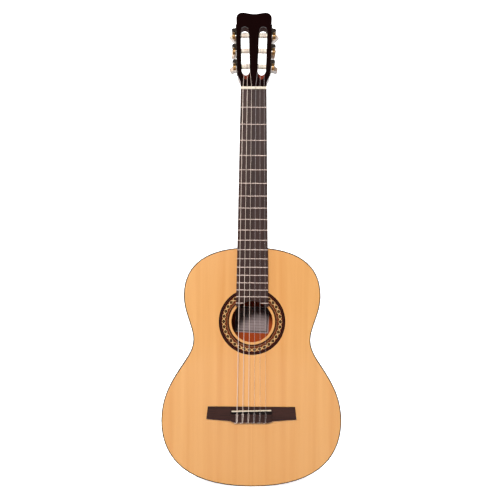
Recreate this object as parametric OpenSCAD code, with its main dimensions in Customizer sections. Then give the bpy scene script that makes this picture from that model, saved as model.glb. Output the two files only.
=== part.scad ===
// Classical guitar: hollow body, neck with a slotted head and six worm-geared tuning machines.
// Millimetres. The strings run along Z with the head up, and the front faces -Y.
// The soundboard's front face is the plane y = 0, and x = 0 is the centre line.
// The origin is level with the head's shoulders, where a hanger's yoke holds the guitar.

/* [Scale and fingerboard] */
// Sounding length, from the nut's front edge to the saddle
scale_length = 650; // [636:1:664]
// Extra length at the saddle, which keeps fretted notes in tune
saddle_extra = 1; // [0:0.1:3]
// Number of frets
fret_count = 19; // [14:1:19]
// Fingerboard width at the nut
board_w_nut = 52.6; // [50:0.2:56]
// Fingerboard width at the body joint
board_w_joint = 62; // [58:0.5:66]
// Fingerboard thickness
board_t = 6.5; // [5:0.1:8]
// Fingerboard length past the body joint
board_over_body = 115.5; // [110:0.5:119]
// Width of a fret's crown
crown_w = 2.1; // [1.8:0.1:3]
// Height of a fret's crown
crown_h = 1.1; // [0.8:0.05:1.2]
// Thickness of a fret's tang
tang_t = 0.6; // [0.4:0.05:0.8]
// Depth of a fret's tang
tang_h = 2; // [1:0.1:3]

/* [Body outline] */
// Body length
body_length = 486; // [470:1:496]
// How far the body reaches above the twelfth fret
joint_lap = 5; // [2:0.5:8]
// Half width of the upper bout
upper_half = 139; // [130:0.5:146]
// Height of the upper bout's widest point above the tail
upper_z = 388; // [380:1:396]
// Half width of the waist
waist_half = 119; // [110:0.5:126]
// Height of the waist above the tail
waist_z = 297; // [290:1:304]
// Half width of the lower bout
lower_half = 183; // [174:0.5:190]
// Height of the lower bout's widest point above the tail
lower_z = 134; // [126:1:142]
// Reach of the curve along the top edge
top_reach = 92; // [84:1:100]
// Reach of the curve above the upper bout
upper_rise = 64; // [56:1:72]
// Reach of the curve below the upper bout
upper_fall = 37; // [30:1:44]
// Reach of the curve above the waist
waist_rise = 28; // [20:1:36]
// Reach of the curve below the waist
waist_fall = 42; // [34:1:50]
// Reach of the curve above the lower bout
lower_rise = 85; // [76:1:94]
// Reach of the curve below the lower bout
lower_fall = 60; // [52:1:68]
// Reach of the curve along the tail
tail_reach = 151; // [140:1:160]

/* [Body shell] */
// Body depth at the neck end
depth_neck_end = 94; // [88:0.5:98]
// Body depth at the tail
depth_tail = 100; // [96:0.5:106]
// Radius of the back's arch across its width
back_arch_r = 4500; // [3000:100:8000]
// Soundboard thickness
top_t = 2.5; // [2:0.1:3.5]
// Back thickness
back_t = 2.6; // [2:0.1:3.5]
// Side thickness
side_t = 2; // [1.6:0.1:2.6]
// Binding width on the faces
binding_w = 2; // [1.4:0.1:3]
// Binding height on the sides
binding_h = 5; // [3.6:0.1:7]
// Lining width
lining_w = 6; // [4:0.5:9]
// Lining height
lining_h = 14; // [8:0.5:18]
// Half width of the tail block
tail_block_half = 36; // [24:1:50]
// Thickness of the tail block along the body
tail_block_len = 16; // [10:1:24]

/* [Soundhole and bracing] */
// Distance from the body joint down to the soundhole's centre
hole_drop = 146; // [144:0.5:150]
// Soundhole radius
hole_r = 42; // [40:0.5:43]
// Rosette inner radius
rosette_in_r = 46.8; // [46:0.2:52]
// Outer radius of the rosette's inner lines
rosette_line_r = 53.6; // [53:0.2:55]
// Outer radius of the rosette's mosaic
rosette_mosaic_r = 61.4; // [58:0.2:63]
// Rosette outer radius
rosette_out_r = 67.6; // [64:0.2:70]
// Depth of the rosette's channel
rosette_t = 1.4; // [0.8:0.1:1.8]
// Height of the two bars beside the soundhole
bar_h = 16; // [10:0.5:20]
// Thickness of the two bars beside the soundhole
bar_t = 7; // [5:0.5:9]
// Distance of these bars from the soundhole's edge
bar_gap = 20; // [12:0.5:26]
// Number of fan braces
fan_count = 7; // [3:2:9]
// Length of the fan braces
fan_length = 190; // [150:5:210]
// Distance between the fan braces at the middle
fan_step = 24; // [16:1:28]
// Turn of each fan brace against its neighbour, in degrees
fan_turn = 3.5; // [0:0.5:5]
// Fan brace width
fan_w = 5; // [3:0.5:8]
// Fan brace height
fan_h = 4; // [3:0.5:6]
// Back brace height
back_brace_h = 13; // [8:0.5:18]
// Back brace thickness
back_brace_t = 8; // [5:0.5:10]
// Label width
label_w = 72; // [60:1:90]
// Label height
label_h = 56; // [44:1:62]
// Distance from the soundhole's centre down to the label's middle
label_drop = 2; // [-4:0.5:8]
// Turn of the label, lower on the treble side, in degrees
label_turn = 2.2; // [0:0.1:4]

/* [Neck] */
// Neck depth behind the fingerboard at the nut
neck_d_nut = 15; // [13:0.2:18]
// Neck depth behind the fingerboard at the heel
neck_d_heel = 18; // [15:0.2:21]
// Length over which the neck swells into the head
swell_len = 34; // [20:1:50]
// Length of the heel's root along the neck
heel_root = 74; // [56:1:90]
// Length of the heel at its cap
heel_tip = 17; // [12:0.5:22]
// Half width of the heel at its cap
heel_tip_half = 13; // [10:0.5:16]
// Heel cap thickness
heel_cap_t = 3; // [2:0.2:5]
// Half width of the heel's core between the ends of the sides
core_half = 10; // [6:0.5:14]
// Half width of the foot inside the body
foot_half = 32; // [24:1:40]
// Length of the foot inside the body
foot_len = 22; // [16:1:30]

/* [Nut, bridge and strings] */
// Nut thickness along the strings
nut_w = 5.5; // [4:0.1:7]
// Nut height above the neck
nut_h = 9.4; // [8.8:0.1:11]
// Height of the strings over the fingerboard at the nut
nut_action = 1.7; // [1.3:0.1:2.2]
// Spread of the strings at the nut
nut_spread = 42.8; // [40:0.2:45]
// Spread of the strings at the saddle
saddle_spread = 58; // [55:0.5:62]
// Height of the saddle's top above the soundboard
saddle_top = 12.5; // [11.6:0.1:14]
// Saddle thickness
saddle_t = 2.9; // [2.2:0.1:3.4]
// Saddle length
saddle_len = 80; // [76:0.5:82]
// Turn of the saddle, lower on the bass side, in degrees
saddle_turn = 1.6; // [0:0.1:1.8]
// Half width of the bridge at its upper edge
bridge_half_top = 88.5; // [80:0.5:96]
// Half width of the bridge at its lower edge
bridge_half_low = 91.5; // [84:0.5:98]
// Distance of the bridge's upper edge above the saddle line
bridge_up = 7.5; // [6:0.5:10]
// Distance of the wing tips' lower edge below the saddle line
wing_tip_down = 17.5; // [14:0.5:18.5]
// Distance of the wings' lower edge at the tie block
wing_root_down = 21.5; // [19:0.5:22.5]
// Wing thickness
wing_t = 4; // [3:0.2:5]
// Height of the saddle bed and of the tie block
bed_h = 8.5; // [8:0.1:9.2]
// Half width of the tie block
tie_half = 41.5; // [41:0.5:46]
// Distance of the tie block's front face below the saddle line
tie_front = 7.5; // [6.5:0.1:8.5]
// Distance of the tie block's rear face below the saddle line
tie_rear = 24; // [23:0.5:27]
// Radius of the string holes in the tie block
tie_hole_r = 0.9; // [0.8:0.05:1.2]
// Height of the string holes above the soundboard
tie_hole_h = 5.6; // [5.2:0.1:6.2]

/* [Head] */
// Distance from the hanger line down to the nut's front edge
nut_drop = 21; // [14:0.5:30]
// Backward tilt of the head, in degrees
head_tilt = 15; // [12:0.5:17]
// Head thickness under its veneer
head_t = 19; // [18:0.2:21]
// Veneer thickness
veneer_t = 2.5; // [1:0.1:3]
// Head length along its face, to the ears
head_len = 165.5; // [162:0.5:172]
// Depth of the dip between the ears
crest_dip = 3.2; // [0:0.2:6]
// Head half width at the middle roller
edge_half = 34.7; // [33.5:0.1:37]
// Slope of the head's edges, in degrees
head_taper = 1.8; // [1:0.1:2.4]
// Slot width
slot_w = 16.8; // [15.5:0.1:17]
// Wall between a slot and the head's edge
slot_wall = 8.6; // [8:0.1:9.4]
// Slot's lower end, along the head
slot_low = 26.4; // [24:0.2:28]
// Slot's upper end, along the head
slot_high = 133; // [132:0.5:138]
// Radius of the string ramp below a slot
ramp_r = 7; // [5:0.2:7.6]
// Slope of the string ramp, in degrees
ramp_slope = 24.5; // [20:0.5:30]

/* [Tuning machines] */
// Distance between the rollers
roller_step = 35; // [34:0.5:36]
// Place of the lowest roller along the head
roller_low = 48.5; // [47:0.5:50]
// Depth of the rollers behind the veneer
roller_depth = 9; // [8.4:0.1:9.6]
// Roller radius
roller_r = 5; // [4.6:0.1:5.2]
// Depth of a roller's end in the rib between the slots
roller_seat = 5; // [3:0.5:6]
// Radius of a roller's metal shaft
shaft_r = 2.5; // [2:0.1:3]
// Side plate thickness
plate_t = 1.5; // [1:0.1:2]
// Side plate width
plate_w = 16; // [14:0.5:17]
// Number of teeth on a gear
tooth_count = 14; // [14:1:15]
// Distance from one turn of the worm's thread to the next
worm_lead = 2.85; // [2.8:0.01:2.9]
// Height of a gear's teeth
tooth_h = 2; // [1.6:0.05:2.1]
// Gear width
gear_w = 5.5; // [4.5:0.1:6]
// Radius of the worm at the foot of its thread
worm_foot_r = 2.2; // [2:0.05:2.3]
// Worm length
worm_len = 10; // [9:0.1:10.4]
// Radius of the worm's shaft
worm_shaft_r = 1.5; // [1.2:0.1:1.7]
// Radius of the worm's bearing ears
ear_r = 3.6; // [3.2:0.1:4.6]
// Thickness of the worm's bearing ears
ear_t = 2.6; // [2:0.1:3]
// Distance from the roller's axis back to the button
button_gap = 24; // [18:0.5:28]
// Button length along its shaft
button_len = 19; // [14:0.5:22]
// Button width
button_w = 20; // [14:0.5:24]
// Button thickness at its middle
button_t = 8.6; // [7:0.1:10]

/* [Fits] */
// Radial gap of a turning shaft in its bearing
run_gap = 0.06; // [0.02:0.01:0.1]
// Gap between pieces that move past each other
move_gap = 0.4; // [0.3:0.05:0.6]
// Gap of a string in its groove or hole, or on its seat
string_gap = 0.06; // [0.02:0.01:0.1]
// Gap between the turns of a string on its roller
turn_gap = 0.5; // [0.42:0.02:0.6]

/* [Hidden] */
$fn = 64;

// String diameters, from the first (treble) to the sixth (bass)
string_d = [0.71, 0.82, 1.02, 0.74, 0.89, 1.09];
// Turns of each string on its roller
winding_turns = [4, 4, 4, 3, 3, 3];
// Place of each string's first turn, outwards from the middle of its slot
winding_shift = [4.4, -3.1, -1.7, -1.7, -3.6, 1.9];
// Way in which the turns run along the roller, 1 for outwards
winding_way = [-1, 1, 1, 1, 1, -1];
// Lean of each button in the front view, clockwise from upright, in degrees
button_lean = [-78, 10, 50, -40, 8, 65];

// Places along the strings
function fret_z(n) = nut_front_z - scale_length * (1 - pow(2, -n / 12));
nut_front_z = -nut_drop;
nut_back_z = nut_front_z + nut_w;
saddle_z = nut_front_z - scale_length - saddle_extra;
joint_z = fret_z(12);
body_top_z = joint_z + joint_lap;
tail_z = body_top_z - body_length;
hole_z = joint_z - hole_drop;
board_end_z = joint_z - board_over_body;

// A depth past the whole body, and the overlap that lets a cut run clear through
far = 150;
cut = 1;
edge_w = max(side_t, binding_w);

// Body outline: four curves from the neck end round to the tail
outline_steps = 16;
outline_curves = [
    [[0, body_length], [top_reach, body_length],
     [upper_half, upper_z + upper_rise], [upper_half, upper_z]],
    [[upper_half, upper_z], [upper_half, upper_z - upper_fall],
     [waist_half, waist_z + waist_rise], [waist_half, waist_z]],
    [[waist_half, waist_z], [waist_half, waist_z - waist_fall],
     [lower_half, lower_z + lower_rise], [lower_half, lower_z]],
    [[lower_half, lower_z], [lower_half, lower_z - lower_fall], [tail_reach, 0], [0, 0]]
];

function unit(v) = v / norm(v);
function curve_at(c, t) =
    pow(1 - t, 3) * c[0] + 3 * t * pow(1 - t, 2) * c[1] + 3 * t * t * (1 - t) * c[2] + pow(t, 3) * c[3];
function curve_way(c, t) =
    unit(pow(1 - t, 2) * (c[1] - c[0]) + 2 * t * (1 - t) * (c[2] - c[1]) + t * t * (c[3] - c[2]));
function curve_in(c, t, inset) =
    let (way = curve_way(c, t)) curve_at(c, t) + inset * [way[1], -way[0]];
function half_outline(inset) = concat(
    [for (c = outline_curves, i = [0 : outline_steps - 1]) curve_in(c, i / outline_steps, inset)],
    [[0, inset]]
);
function mirrored(points) =
    [for (i = [len(points) - 2 : -1 : 1]) [-points[i][0], points[i][1]]];
function both_halves(points) = concat(points, mirrored(points));

module body_shape(inset) {
    translate([0, tail_z]) polygon(both_halves(half_outline(inset)));
}

// A flat shape drawn in X and Z, thickened from y0 back to y1
module board(y0, y1) {
    translate([0, y1, 0]) rotate([90, 0, 0]) linear_extrude(y1 - y0) children();
}

module body_slab(inset, y0, y1) {
    board(y0, y1) body_shape(inset);
}

module body_ring(outer, inner, y0, y1) {
    difference() {
        body_slab(outer, y0, y1);
        body_slab(inner, y0 - cut, y1 + cut);
    }
}

module rod_y(r, y0, y1, x, z) {
    translate([x, y0, z]) rotate([-90, 0, 0]) cylinder(r = r, h = y1 - y0);
}

module wide_box(x_half, y0, y1, z0, z1) {
    translate([-x_half, y0, z0]) cube([2 * x_half, y1 - y0, z1 - z0]);
}

// Everything in front of the arched, tapering back, less a drop from its outer face
back_slope = atan((depth_tail - depth_neck_end) / body_length);
module under_back(drop) {
    translate([0, depth_neck_end, body_top_z]) rotate([back_slope, 0, 0])
        translate([0, -back_arch_r, -1.5 * body_length])
            cylinder(r = back_arch_r - drop, h = 2 * body_length, $fn = 900);
}

module back_layer(drop0, drop1) {
    difference() {
        intersection() {
            children();
            under_back(drop0);
        }
        under_back(drop1);
    }
}

module foot_space() {
    wide_box(foot_half, top_t, far, body_top_z - foot_len, body_top_z + cut);
}

module tail_space() {
    wide_box(tail_block_half, top_t, far, tail_z - cut, tail_z + edge_w + tail_block_len);
}

module soundboard() {
    color("goldenrod") difference() {
        body_slab(binding_w, 0, top_t);
        rod_y(hole_r, -cut, top_t + cut, 0, hole_z);
        difference() {
            rod_y(rosette_out_r, -cut, rosette_t, 0, hole_z);
            rod_y(rosette_in_r, -2 * cut, rosette_t + cut, 0, hole_z);
        }
    }
}

module rosette_ring(r_in, r_out) {
    difference() {
        rod_y(r_out, 0, rosette_t, 0, hole_z);
        rod_y(r_in, -cut, rosette_t + cut, 0, hole_z);
    }
}

module rosette() {
    color("saddlebrown") rosette_ring(rosette_in_r, rosette_line_r);
    color("peru") rosette_ring(rosette_line_r, rosette_mosaic_r);
    color("saddlebrown") rosette_ring(rosette_mosaic_r, rosette_out_r);
}

module bindings() {
    color([0.16, 0.08, 0.05]) {
        difference() {
            body_ring(0, binding_w, 0, binding_h);
            wide_box(board_w_joint / 2, -cut, far, body_top_z - foot_len, body_top_z + cut);
        }
        back_layer(0, binding_h) body_ring(0, binding_w, depth_neck_end / 2, far);
    }
}

// One bent side, from the tail's middle to its slot in the heel; way is -1 for the bass side
module side(way) {
    color([0.34, 0.16, 0.09]) intersection() {
        difference() {
            body_ring(0, side_t, binding_h, far);
            wide_box(core_half, -far, far, body_top_z - foot_len, body_top_z + cut);
        }
        under_back(binding_h);
        translate([way < 0 ? -lower_half - far : 0, -far, tail_z - far])
            cube([lower_half + far, 2 * far, body_length + 2 * far]);
    }
}

module side_bass() { side(-1); }
module side_treble() { side(1); }

module back_plate() {
    color([0.36, 0.17, 0.1]) back_layer(0, back_t) body_slab(binding_w, depth_neck_end / 2, far);
}

module linings() {
    color("burlywood") difference() {
        union() {
            body_ring(edge_w, edge_w + lining_w, top_t, top_t + lining_h);
            back_layer(back_t, back_t + lining_h)
                body_ring(edge_w, edge_w + lining_w, depth_neck_end / 2, far);
        }
        foot_space();
        tail_space();
    }
}

module tail_block() {
    color("burlywood") intersection() {
        body_slab(edge_w, top_t, far);
        tail_space();
        under_back(back_t);
    }
}

// The clear width inside the linings
module cavity(y0, y1) {
    body_slab(edge_w + lining_w + string_gap, y0, y1);
}

module harmonic_bars() {
    bar_away = hole_r + bar_gap;
    color("burlywood") intersection() {
        cavity(0, far);
        for (way = [-1, 1])
            wide_box(lower_half, top_t, top_t + bar_h,
                hole_z + way * bar_away + (way < 0 ? -bar_t : 0),
                hole_z + way * bar_away + (way < 0 ? 0 : bar_t));
    }
}

fan_top_z = hole_z - hole_r - bar_gap - bar_t - lining_w;
module fan_braces() {
    color("burlywood") for (i = [0 : fan_count - 1]) let (k = i - (fan_count - 1) / 2)
        translate([k * fan_step, top_t, fan_top_z - fan_length / 2]) rotate([0, -k * fan_turn, 0])
            translate([-fan_w / 2, 0, -fan_length / 2]) cube([fan_w, fan_h, fan_length]);
}

// Back braces, clear of the label: above the soundhole, at the waist and at the lower bout
back_brace_z = [hole_z + hole_r + bar_gap, hole_z - hole_r - bar_gap, tail_z + lower_z];
module back_braces() {
    color("burlywood") back_layer(back_t, back_t + back_brace_h) intersection() {
        cavity(depth_neck_end / 2, far);
        for (z = back_brace_z) wide_box(lower_half, 0, far, z - back_brace_t / 2, z + back_brace_t / 2);
    }
}

label_t = 0.4;
module paper_label() {
    color("gainsboro") back_layer(back_t, back_t + label_t)
        translate([0, 0, hole_z - label_drop]) rotate([0, label_turn, 0])
            wide_box(label_w / 2, depth_neck_end / 2, far, -label_h / 2, label_h / 2);
}

function board_half(z) =
    (board_w_nut + (board_w_joint - board_w_nut) * (nut_front_z - z) / (nut_front_z - joint_z)) / 2;

// A skin through rings of points, closed at both ends
module loft(rings) {
    sides = len(rings[0]);
    last = len(rings) - 1;
    polyhedron(
        points = [for (ring = rings, p = ring) p],
        faces = concat(
            [[for (k = [0 : sides - 1]) k]],
            [[for (k = [sides - 1 : -1 : 0]) last * sides + k]],
            [for (i = [0 : last - 1], k = [0 : sides - 1])
                [i * sides + k, (i + 1) * sides + k, i * sides + (k + 1) % sides]],
            [for (i = [0 : last - 1], k = [0 : sides - 1])
                [i * sides + (k + 1) % sides, (i + 1) * sides + k, (i + 1) * sides + (k + 1) % sides]]
        )
    );
}

// Neck shaft: rounded sections that grow flatter and deeper where the head begins
neck_round = 2.3;
head_round = 7;
neck_steps = 18;
section_steps = 16;
function signed_power(v, e) = sign(v) * pow(abs(v), e);
function swell(z) = pow(max(0, 1 - (nut_back_z - z) / swell_len), 2);
function neck_depth(z) =
    let (base = neck_d_nut + (neck_d_heel - neck_d_nut) * (nut_back_z - z) / (nut_back_z - joint_z))
    base + (head_t / cos(head_tilt) - base) * swell(z);
function neck_section(z) =
    let (e = 2 / (neck_round + (head_round - neck_round) * swell(z)))
    [for (i = [0 : section_steps]) let (a = 180 * i / section_steps)
        [board_half(min(z, nut_front_z)) * signed_power(cos(a), e),
         neck_depth(z) * signed_power(sin(a), e), z]];
module neck_shaft() {
    foot_z = body_top_z - joint_lap;
    loft([for (i = [0 : neck_steps]) let (s = i / neck_steps)
        neck_section(foot_z + (nut_back_z - foot_z) * (1 - pow(1 - s, 1.6)))]);
}

// Heel: tongue-shaped sections that shorten and narrow towards the back
heel_steps = 12;
heel_end_y = depth_neck_end - heel_cap_t;
function heel_reach(s) = heel_tip + (heel_root - heel_tip) * pow(1 - s, 3);
function heel_half(s) = heel_tip_half + (board_w_joint / 2 - heel_tip_half) * pow(1 - s, 1.5);
function heel_section(s, y) =
    [for (i = [0 : section_steps]) let (a = 180 * i / section_steps)
        [heel_half(s) * cos(a), y, body_top_z - joint_lap + (heel_reach(s) + joint_lap) * sin(a)]];
module heel() {
    loft([for (i = [heel_steps : -1 : 0]) let (s = i / heel_steps) heel_section(s, heel_end_y * s)]);
}

module neck() {
    color([0.36, 0.16, 0.09]) {
        difference() {
            union() {
                neck_shaft();
                heel();
            }
            body_slab(0, -cut, far);
        }
        // Filling under the fingerboard's edge, where the binding stops
        intersection() {
            body_ring(0, binding_w, 0, binding_h);
            wide_box(board_w_joint / 2, 0, far, body_top_z - foot_len, body_top_z + cut);
        }
        // Core between the ends of the sides
        intersection() {
            body_ring(0, edge_w, binding_h, far);
            wide_box(core_half, 0, far, body_top_z - foot_len, body_top_z + cut);
            under_back(binding_h);
        }
        intersection() {
            body_slab(edge_w, top_t, far);
            foot_space();
            under_back(back_t);
        }
    }
}

module heel_cap() {
    color([0.16, 0.08, 0.05]) difference() {
        board(heel_end_y, depth_neck_end)
            polygon([for (p = heel_section(1, 0)) [p[0], p[2]]]);
        body_slab(0, 0, far);
    }
}

module fingerboard() {
    color([0.2, 0.1, 0.07]) difference() {
        board(-board_t, 0) polygon([
            [-board_half(nut_front_z), nut_front_z], [board_half(nut_front_z), nut_front_z],
            [board_half(board_end_z), board_end_z], [-board_half(board_end_z), board_end_z]
        ]);
        rod_y(hole_r, -board_t - cut, cut, 0, hole_z);
        for (n = [1 : fret_count])
            wide_box(far, -board_t - cut, -board_t + tang_h, fret_z(n) - tang_t / 2, fret_z(n) + tang_t / 2);
    }
}

// Frets: a round crown on a tang, cut short where the last one meets the soundhole
crown_r = (crown_w * crown_w / 4 + crown_h * crown_h) / (2 * crown_h);
module fret(n) {
    half = board_half(fret_z(n));
    translate([0, -board_t, fret_z(n)]) {
        intersection() {
            translate([-half, crown_r - crown_h, 0]) rotate([0, 90, 0]) cylinder(r = crown_r, h = 2 * half);
            wide_box(half, -crown_h - cut, 0, -crown_w / 2, crown_w / 2);
        }
        wide_box(half, -crown_h / 2, tang_h, -tang_t / 2, tang_t / 2);
    }
}

module frets() {
    color("silver") difference() {
        for (n = [1 : fret_count]) fret(n);
        rod_y(hole_r, -far, far, 0, hole_z);
    }
}

// Strings, counted from the first on the treble side
function string_r(n) = string_d[n - 1] / 2;
function string_x(n, spread) = spread * (3.5 - n) / 5;
function nut_point(n, z) =
    let (low = [string_x(n, saddle_spread), -(saddle_top + string_r(n) + string_gap), saddle_z])
    let (high = [string_x(n, nut_spread), -(board_t + nut_action + string_r(n)), nut_front_z])
    low + (high - low) * (z - saddle_z) / (nut_front_z - saddle_z);

nut_round = 1.2;
module nut() {
    color("ivory") difference() {
        translate([0, -nut_h, 0]) {
            wide_box(board_w_nut / 2, nut_round, nut_h, nut_front_z, nut_back_z);
            wide_box(board_w_nut / 2, 0, nut_h, nut_front_z + nut_round, nut_back_z - nut_round);
            for (z = [nut_front_z + nut_round, nut_back_z - nut_round])
                translate([-board_w_nut / 2, nut_round, z]) rotate([0, 90, 0])
                    cylinder(r = nut_round, h = board_w_nut);
        }
        for (n = [1 : 6]) let (a = nut_point(n, nut_front_z - nut_w), b = nut_point(n, nut_back_z + nut_w))
            translate(a) pointing_along(b - a) {
                cylinder(r = string_r(n) + string_gap, h = norm(b - a));
                translate([-string_r(n) - string_gap, -nut_h, 0])
                    cube([2 * (string_r(n) + string_gap), nut_h, norm(b - a)]);
            }
    }
}

// Turns +Z towards a direction, keeping X as level as it can be
module pointing_along(v) {
    rotate([-atan2(v[1], norm([v[0], v[2]])), atan2(v[0], v[2]), 0]) children();
}

// The bridge is drawn from the saddle line, up the strings as +Z
wing_edge = 0.8;
module bridge_frame() {
    translate([0, 0, saddle_z]) children();
}

module saddle_blank() {
    crest_h = saddle_top - saddle_t / 2;
    rotate([0, -saddle_turn, 0]) {
        wide_box(saddle_len / 2, -crest_h, -wing_t, -saddle_t / 2, saddle_t / 2);
        translate([-saddle_len / 2, -crest_h, 0]) rotate([0, 90, 0])
            cylinder(r = saddle_t / 2, h = saddle_len);
    }
}

module saddle() {
    color("ivory") bridge_frame() saddle_blank();
}

module bridge() {
    bed_wall = 1.5;
    bed_back = saddle_t / 2 + bed_wall;
    tie_corner = 9;
    color([0.2, 0.1, 0.07]) bridge_frame() difference() {
        union() {
            board(-wing_t, 0) polygon([
                [-bridge_half_top, bridge_up], [bridge_half_top, bridge_up],
                [bridge_half_low, -wing_tip_down], [tie_half, -wing_root_down],
                [-tie_half, -wing_root_down], [-bridge_half_low, -wing_tip_down]
            ]);
            // Saddle bed with a sloping front
            translate([-tie_half, 0, 0]) rotate([0, 90, 0]) linear_extrude(2 * tie_half)
                polygon([
                    [-bridge_up, 0], [-bridge_up, -wing_t], [-saddle_t / 2 - wing_edge, -bed_h],
                    [bed_back, -bed_h], [bed_back, 0]
                ]);
            // Tie block with slanted rear corners
            board(-bed_h, 0) polygon([
                [-tie_half, -tie_front], [tie_half, -tie_front],
                [tie_half, -wing_root_down], [tie_half - tie_corner, -tie_rear],
                [-tie_half + tie_corner, -tie_rear], [-tie_half, -wing_root_down]
            ]);
        }
        saddle_blank();
        for (n = [1 : 6]) translate([string_x(n, saddle_spread), -tie_hole_h, -tie_rear - cut])
            cylinder(r = tie_hole_r, h = tie_rear - tie_front + 2 * cut);
    }
}

// The head's own frame: Z up the head's face from the nut, Y back from the wood under the veneer
function turn_x(p, a) = [p[0], p[1] * cos(a) - p[2] * sin(a), p[1] * sin(a) + p[2] * cos(a)];
function turn_y(p, a) = [p[0] * cos(a) + p[2] * sin(a), p[1], p[2] * cos(a) - p[0] * sin(a)];
module head_frame() {
    translate([0, 0, nut_back_z]) rotate([-head_tilt, 0, 0]) children();
}

// The frame of one edge of the head: X outwards from the edge, Y back, Z along the edge
edge_mid = roller_low + roller_step;
module edge_frame(way) {
    head_frame() mirror([way < 0 ? 1 : 0, 0, 0]) translate([edge_half, 0, edge_mid])
        rotate([0, head_taper, 0]) translate([0, 0, -edge_mid]) children();
}
function from_edge(way, q) =
    let (h = turn_y(q - [0, 0, edge_mid], head_taper) + [edge_half, 0, edge_mid])
    [0, 0, nut_back_z] + turn_x([way * h[0], h[1], h[2]], -head_tilt);
function to_edge(way, p) =
    let (h = turn_x(p - [0, 0, nut_back_z], head_tilt))
    turn_y([way * h[0] - edge_half, h[1], h[2] - edge_mid], -head_taper) + [0, 0, edge_mid];

// Tuning machines: strings 1 to 3 on the treble edge, 4 to 6 on the bass edge
function tuner_way(n) = n <= 3 ? 1 : -1;
function roller_z(n) = roller_low + roller_step * (n <= 3 ? n - 1 : 6 - n);
module tuner_frame(n) {
    edge_frame(tuner_way(n)) translate([0, roller_depth, roller_z(n)]) children();
}

module rod_x(r, x0, x1) {
    translate([x0, 0, 0]) rotate([0, 90, 0]) cylinder(r = r, h = x1 - x0);
}

// Head outline: neck width, shoulder, straight edge, round corner and dipped crest
shoulder_low = 4;
shoulder_high = 30;
shoulder_reach = 14;
corner_low = 13.5;
corner_reach = 8.5;
ear_x = 23.5;
ear_reach = 7.5;
crest_reach = 9;
crest_half = 8;
curve_steps = 12;
function edge_x(z) = edge_half + (z - edge_mid) * tan(head_taper);
function head_half_outline() =
    let (neck_x = board_w_nut / 2, base = -veneer_t - cut, corner_z = head_len - corner_low)
    let (shoulder = [[neck_x, shoulder_low], [neck_x + 0.2, shoulder_low + shoulder_reach],
                     [edge_x(shoulder_high) - 0.4, shoulder_high - shoulder_reach],
                     [edge_x(shoulder_high), shoulder_high]])
    let (corner = [[edge_x(corner_z), corner_z], [edge_x(corner_z), corner_z + corner_reach],
                   [ear_x + ear_reach, head_len + 0.4], [ear_x, head_len]])
    let (crest = [[ear_x, head_len], [ear_x - crest_reach, head_len - 0.5],
                  [crest_half, head_len - crest_dip], [0, head_len - crest_dip]])
    concat([[neck_x, base]],
        [for (c = [shoulder, corner, crest], i = [0 : curve_steps]) curve_at(c, i / curve_steps)]);
function head_outline() =
    let (right = head_half_outline())
    concat(right, [for (i = [len(right) - 2 : -1 : 0]) [-right[i][0], right[i][1]]]);

module head_blank(y0, y1) {
    difference() {
        head_frame() difference() {
            board(y0, y1) polygon(head_outline());
            for (way = [-1, 1]) mirror([way < 0 ? 1 : 0, 0, 0]) slot_cut();
        }
        wide_box(far, -far, far, nut_back_z - far, nut_back_z);
    }
}

// A through slot with round ends, and the string ramp that leads into it
slot_mid = -slot_wall - slot_w / 2;
module slot_cut() {
    translate([edge_half, 0, edge_mid]) rotate([0, head_taper, 0]) translate([slot_mid, 0, -edge_mid]) {
        for (z = [slot_low + slot_w / 2, slot_high - slot_w / 2]) rod_y(slot_w / 2, -far, far, 0, z);
        wide_box(slot_w / 2, -far, far, slot_low + slot_w / 2, slot_high - slot_w / 2);
        translate([0, -veneer_t, ramp_mid]) rotate([-ramp_slope, 0, 0])
            translate([0, 0, -2 * slot_w]) cylinder(r = ramp_r, h = 2 * slot_w + ramp_up);
    }
}
ramp_low = 15;
ramp_up = 14;
ramp_mid = ramp_low + ramp_r / sin(ramp_slope);

module headstock() {
    color([0.3, 0.13, 0.07]) difference() {
        head_blank(0, head_t);
        for (n = [1 : 6]) tuner_frame(n)
            rod_x(roller_r + run_gap, slot_mid - slot_w / 2 - roller_seat - cut / 2, cut);
        for (way = [-1, 1]) edge_frame(way) plate_screws(0);
    }
}

module head_veneer() {
    color([0.12, 0.04, 0.03]) head_blank(-veneer_t, 0);
}

// Worm and gear: the worm's axis is square to the head's face, on the tip side of the gear
pitch_r = tooth_count * worm_lead / (2 * PI);
tooth_foot_share = 0.6;
gear_foot_r = pitch_r - tooth_h * tooth_foot_share;
gear_tip_r = gear_foot_r + tooth_h;
tip_gap = 0.3;
worm_away = gear_tip_r + tip_gap + worm_foot_r;
thread_tip_r = worm_away - gear_foot_r - tip_gap;
worm_slope = atan(worm_lead / (2 * PI * (worm_away - pitch_r)));
tooth_foot_t = 1.25;
tooth_tip_t = 0.6;
gear_mid_x = plate_t + move_gap + max(gear_w / 2, thread_tip_r);
gear_x0 = gear_mid_x - gear_w / 2;

module gear_tooth(way) {
    foot = gear_foot_r - tooth_h / 4;
    translate([gear_mid_x, 0, 0]) rotate([0, 0, -way * worm_slope])
        translate([-gear_w / 2, 0, 0]) rotate([0, 90, 0]) rotate([0, 0, 90]) linear_extrude(gear_w)
            polygon([[-tooth_foot_t / 2, -foot], [tooth_foot_t / 2, -foot],
                     [tooth_tip_t / 2, -gear_tip_r], [-tooth_tip_t / 2, -gear_tip_r]]);
}

screw_head_r = 2.2;
screw_head_t = 1.2;
screw_r = 1.2;
screw_slot_w = 0.6;
module slotted_head() {
    difference() {
        rod_x(screw_head_r, 0, screw_head_t);
        translate([screw_head_t / 2, -far / 2, -screw_slot_w / 2]) cube([screw_head_t, far, screw_slot_w]);
    }
}

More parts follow.
